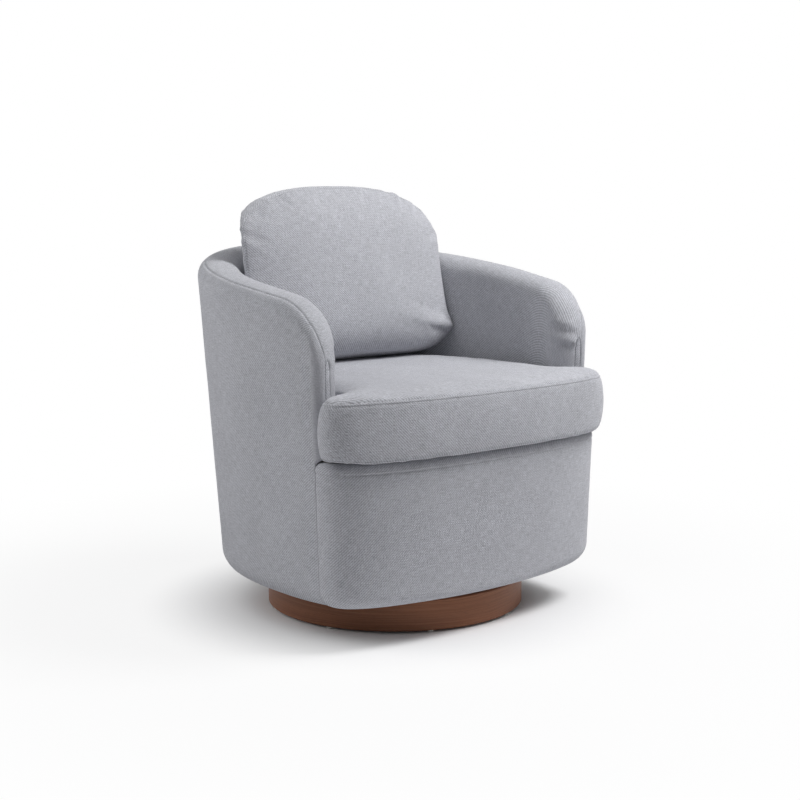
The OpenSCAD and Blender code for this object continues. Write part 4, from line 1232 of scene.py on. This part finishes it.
def wood(name, tones, along, roughness, pores=1.0, grain=1.0):
    """Wood from three tones. along is 'round', 'x' or 'z': the way the grain runs."""
    material, net, _ = new_material(name, tones[1], roughness, 0.3)
    x, y, z = net.split(net.object_space())
    if along == "round":
        angle = net.maths("ARCTAN2", x, net.maths("MULTIPLY", y, -1))
        order = (net.maths("MULTIPLY", angle, DRUM_R), z,
                 net.maths("SQRT", net.weighed((x, x), (y, y))))
    else:
        order = {"x": (x, y, z), "z": (z, x, y)}[along]
    joined = net.nodes.new("ShaderNodeCombineXYZ")
    for socket, axis in zip(joined.inputs, order):
        net.links.new(axis, socket)
    spot = joined.outputs[0]
    bent = net.nodes.new("ShaderNodeVectorMath")
    bent.operation = "MULTIPLY_ADD"
    net.links.new(net.noise(spot, (5, 14, 14)), bent.inputs[0])
    bent.inputs[1].default_value = (0, 0.022, 0.012)
    net.links.new(spot, bent.inputs[2])
    bent = bent.outputs[0]
    lines = net.noise(bent, (3.5, 210 * grain, 120 * grain), 5, 0.62)
    figure = net.noise(bent, (2.2, 42 * grain, 30 * grain), 3)
    dots = net.stretch(net.noise(bent, (90, 1500, 1500)), 0.60, 6 * pores, clamp=True)
    tone = net.stretch(lines, 0.32, 2.4, clamp=True)
    shade = net.stretch(figure, 0.38, 3.2, clamp=True)
    base = net.blend(tone, tones[0], tones[2])
    base = net.blend(net.maths("MULTIPLY", shade, 0.6), base, tones[1])
    base = net.blend(net.maths("MULTIPLY", dots, 0.55), base, tuple(c * 0.45 for c in tones[0]))
    net.finish(base, net.maths("ADD", net.maths("MULTIPLY", tone, 0.10), roughness - 0.05),
               net.maths("SUBTRACT", lines, dots), 0.25, 0.0003)
    return material


walnut = wood("walnut", ((0.170, 0.060, 0.026), (0.240, 0.092, 0.042), (0.310, 0.130, 0.066)),
              "round", 0.5, grain=2.2)
pine = wood("pine", ((0.55, 0.36, 0.17), (0.66, 0.46, 0.25), (0.75, 0.57, 0.34)), "z", 0.62,
            pores=0.2, grain=0.6)
plywood = wood("plywood", ((0.45, 0.31, 0.17), (0.58, 0.43, 0.26), (0.68, 0.53, 0.34)), "x", 0.6,
               pores=0.4, grain=0.5)
print("woods made")

# %% [markdown]
# ## Board, metal and plastic
# Hardboard is pressed fibre: a brown mass with short flecks. The zinc of the screws, the drawn
# spring wire, the pressed swivel rings and the polished balls differ mostly in how finely
# their shine is broken up, so one maker gives them all, with its own scale of scratches for
# each. The glides and the ball cage are moulded nylon with a soft mottle.

# %% Metals, board and nylon


def metal(name, colour, roughness, cell, wear):
    material, net, shader = new_material(name, colour, roughness)
    shader.inputs["Metallic"].default_value = 1.0
    place = net.object_space()
    tone = net.weighed((net.noise(place, (cell, cell, cell * 0.25), 3, 0.6), 0.5),
                       (net.noise(place, (45, 45, 45), 3, 0.6), 0.5))
    net.finish(net.blend(tone, tuple(c * (1 - wear) for c in colour), colour),
               net.maths("ADD", net.maths("MULTIPLY", tone, 0.22), roughness - 0.11))
    return material


def moulded(name, colour, dark, roughness, cell):
    material, net, _ = new_material(name, colour, roughness)
    mottle = net.noise(net.object_space(), (cell, cell, cell), 4, 0.6)
    net.finish(net.blend(mottle, dark, colour),
               net.maths("ADD", net.maths("MULTIPLY", mottle, 0.15), roughness - 0.07))
    return material


hardboard = moulded("hardboard", (0.23, 0.125, 0.065), (0.12, 0.06, 0.03), 0.75, 650)
nylon = moulded("nylon", (0.72, 0.71, 0.67), (0.60, 0.59, 0.55), 0.45, 130)
zinc = metal("zinc", (0.62, 0.64, 0.66), 0.36, 900, 0.25)
ring_steel = metal("ring_steel", (0.42, 0.43, 0.44), 0.34, 700, 0.30)
ball_steel = metal("ball_steel", (0.66, 0.66, 0.67), 0.16, 500, 0.10)
spring_steel = metal("spring_steel", (0.30, 0.30, 0.31), 0.42, 1200, 0.35)

finish_of = {"plinth_hoop": walnut, "plinth_board": plywood, "plinth_blocks": pine,
             "plinth_screws": zinc, "glides": nylon, "swivel_outer_ring": ring_steel,
             "outer_ring_screws": zinc, "ball_cage": nylon, "bearing_balls": ball_steel,
             "swivel_inner_ring": ring_steel, "inner_ring_screws": zinc, "seat_board": plywood,
             "front_posts": pine, "side_posts": pine, "back_posts": pine, "seat_rail": plywood,
             "front_rail": plywood, "apron_studs": pine, "top_rail": plywood,
             "outer_panel": hardboard, "inner_panel": hardboard, "apron_panel": hardboard,
             "spring_clips": zinc, "seat_springs": spring_steel}
for node, finish in finish_of.items():
    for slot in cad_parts[node].material_slots:
        slot.material = finish
print(len(finish_of), "hard nodes finished")

# %% [markdown]
# ## Floor, backdrop and light
# The photograph is a cut-out on white with a soft pool of shadow. A plain diffuse floor would
# be grey where the light falls off, and more light would bleach the chair. So the floor mixes
# its own lit surface with plain white that only the camera and reflections see. Under the drum
# it is all lit and catches the shadow, at the chair's edge it is six parts in seven white, and
# from 1.4 m out it is all white. A soft lamp above the right front, with a weak one low beside
# it, lights the pillow, the tops and the front panel. Two from the left give the outside of the
# shell its even tone.

# %% Floor
# each ramp: where it starts and ends, in metres from the middle, and its share of white there
WHITE_RAMPS = ((0.22, 0.52, 0.0, 1.0), (0.5, 1.4, 0.86, 1.0))
bm = bmesh.new()
bmesh.ops.create_grid(bm, x_segments=1, y_segments=1, size=14)
floor_mesh = mesh_of("floor", bm)
floor = bpy.data.objects.new("floor", floor_mesh)
scene.collection.objects.link(floor)
material, net, shader = new_material("floor", (0.86, 0.86, 0.87), 0.85, 0.2)
floor_mesh.materials.append(material)
white = net.nodes.new("ShaderNodeEmission")
white.inputs["Color"].default_value = (1, 1, 1, 1)
white.inputs["Strength"].default_value = 1.0
far = net.nodes.new("ShaderNodeVectorMath")
far.operation = "LENGTH"
net.links.new(net.object_space(), far.inputs[0])
ramps = []
for ramp_values in WHITE_RAMPS:
    ramp = net.nodes.new("ShaderNodeMapRange")
    ramp.interpolation_type = "SMOOTHSTEP"
    net.links.new(far.outputs["Value"], ramp.inputs["Value"])
    for name, value in zip(("From Min", "From Max", "To Min", "To Max"), ramp_values):
        ramp.inputs[name].default_value = value
    ramps.append(ramp.outputs["Result"])
net.seen_or(net.maths("MULTIPLY", *ramps), shader, white, "Material Output")
print("floor laid")

# %% World and lamps
world = bpy.data.worlds.new("studio")
scene.world = world
world.use_nodes = True
net = Net(world.node_tree)
soft = net.nodes["Background"]
soft.inputs["Color"].default_value = (0.93, 0.95, 1.0, 1)
soft.inputs["Strength"].default_value = 0.05
plain = net.nodes.new("ShaderNodeBackground")
plain.inputs["Color"].default_value = (1, 1, 1, 1)
net.seen_or(1.0, soft, plain, "World Output")
LIT_MIDDLE = Vector((0, 0, 0.4))


def lamp(name, place, size, power):
    data = bpy.data.lights.new(name, "AREA")
    data.shape = "RECTANGLE"
    data.size, data.size_y = size
    data.energy = power
    piece = bpy.data.objects.new(name, data)
    scene.collection.objects.link(piece)
    piece.location = place
    piece.rotation_euler = (LIT_MIDDLE - Vector(place)).to_track_quat("-Z", "Y").to_euler()


lamp("key_softbox", (1.1, -1.0, 2.3), (1.0, 1.0), 56)
lamp("low_softbox", (2.3, -2.0, 1.2), (1.4, 1.2), 5.5)
lamp("left_softbox", (-2.2, 1.7, 1.7), (1.4, 1.6), 30)
lamp("upper_left_softbox", (-1.8, -0.3, 2.6), (1.6, 1.6), 17)
scene.view_settings.view_transform = "Standard"
print("lit")
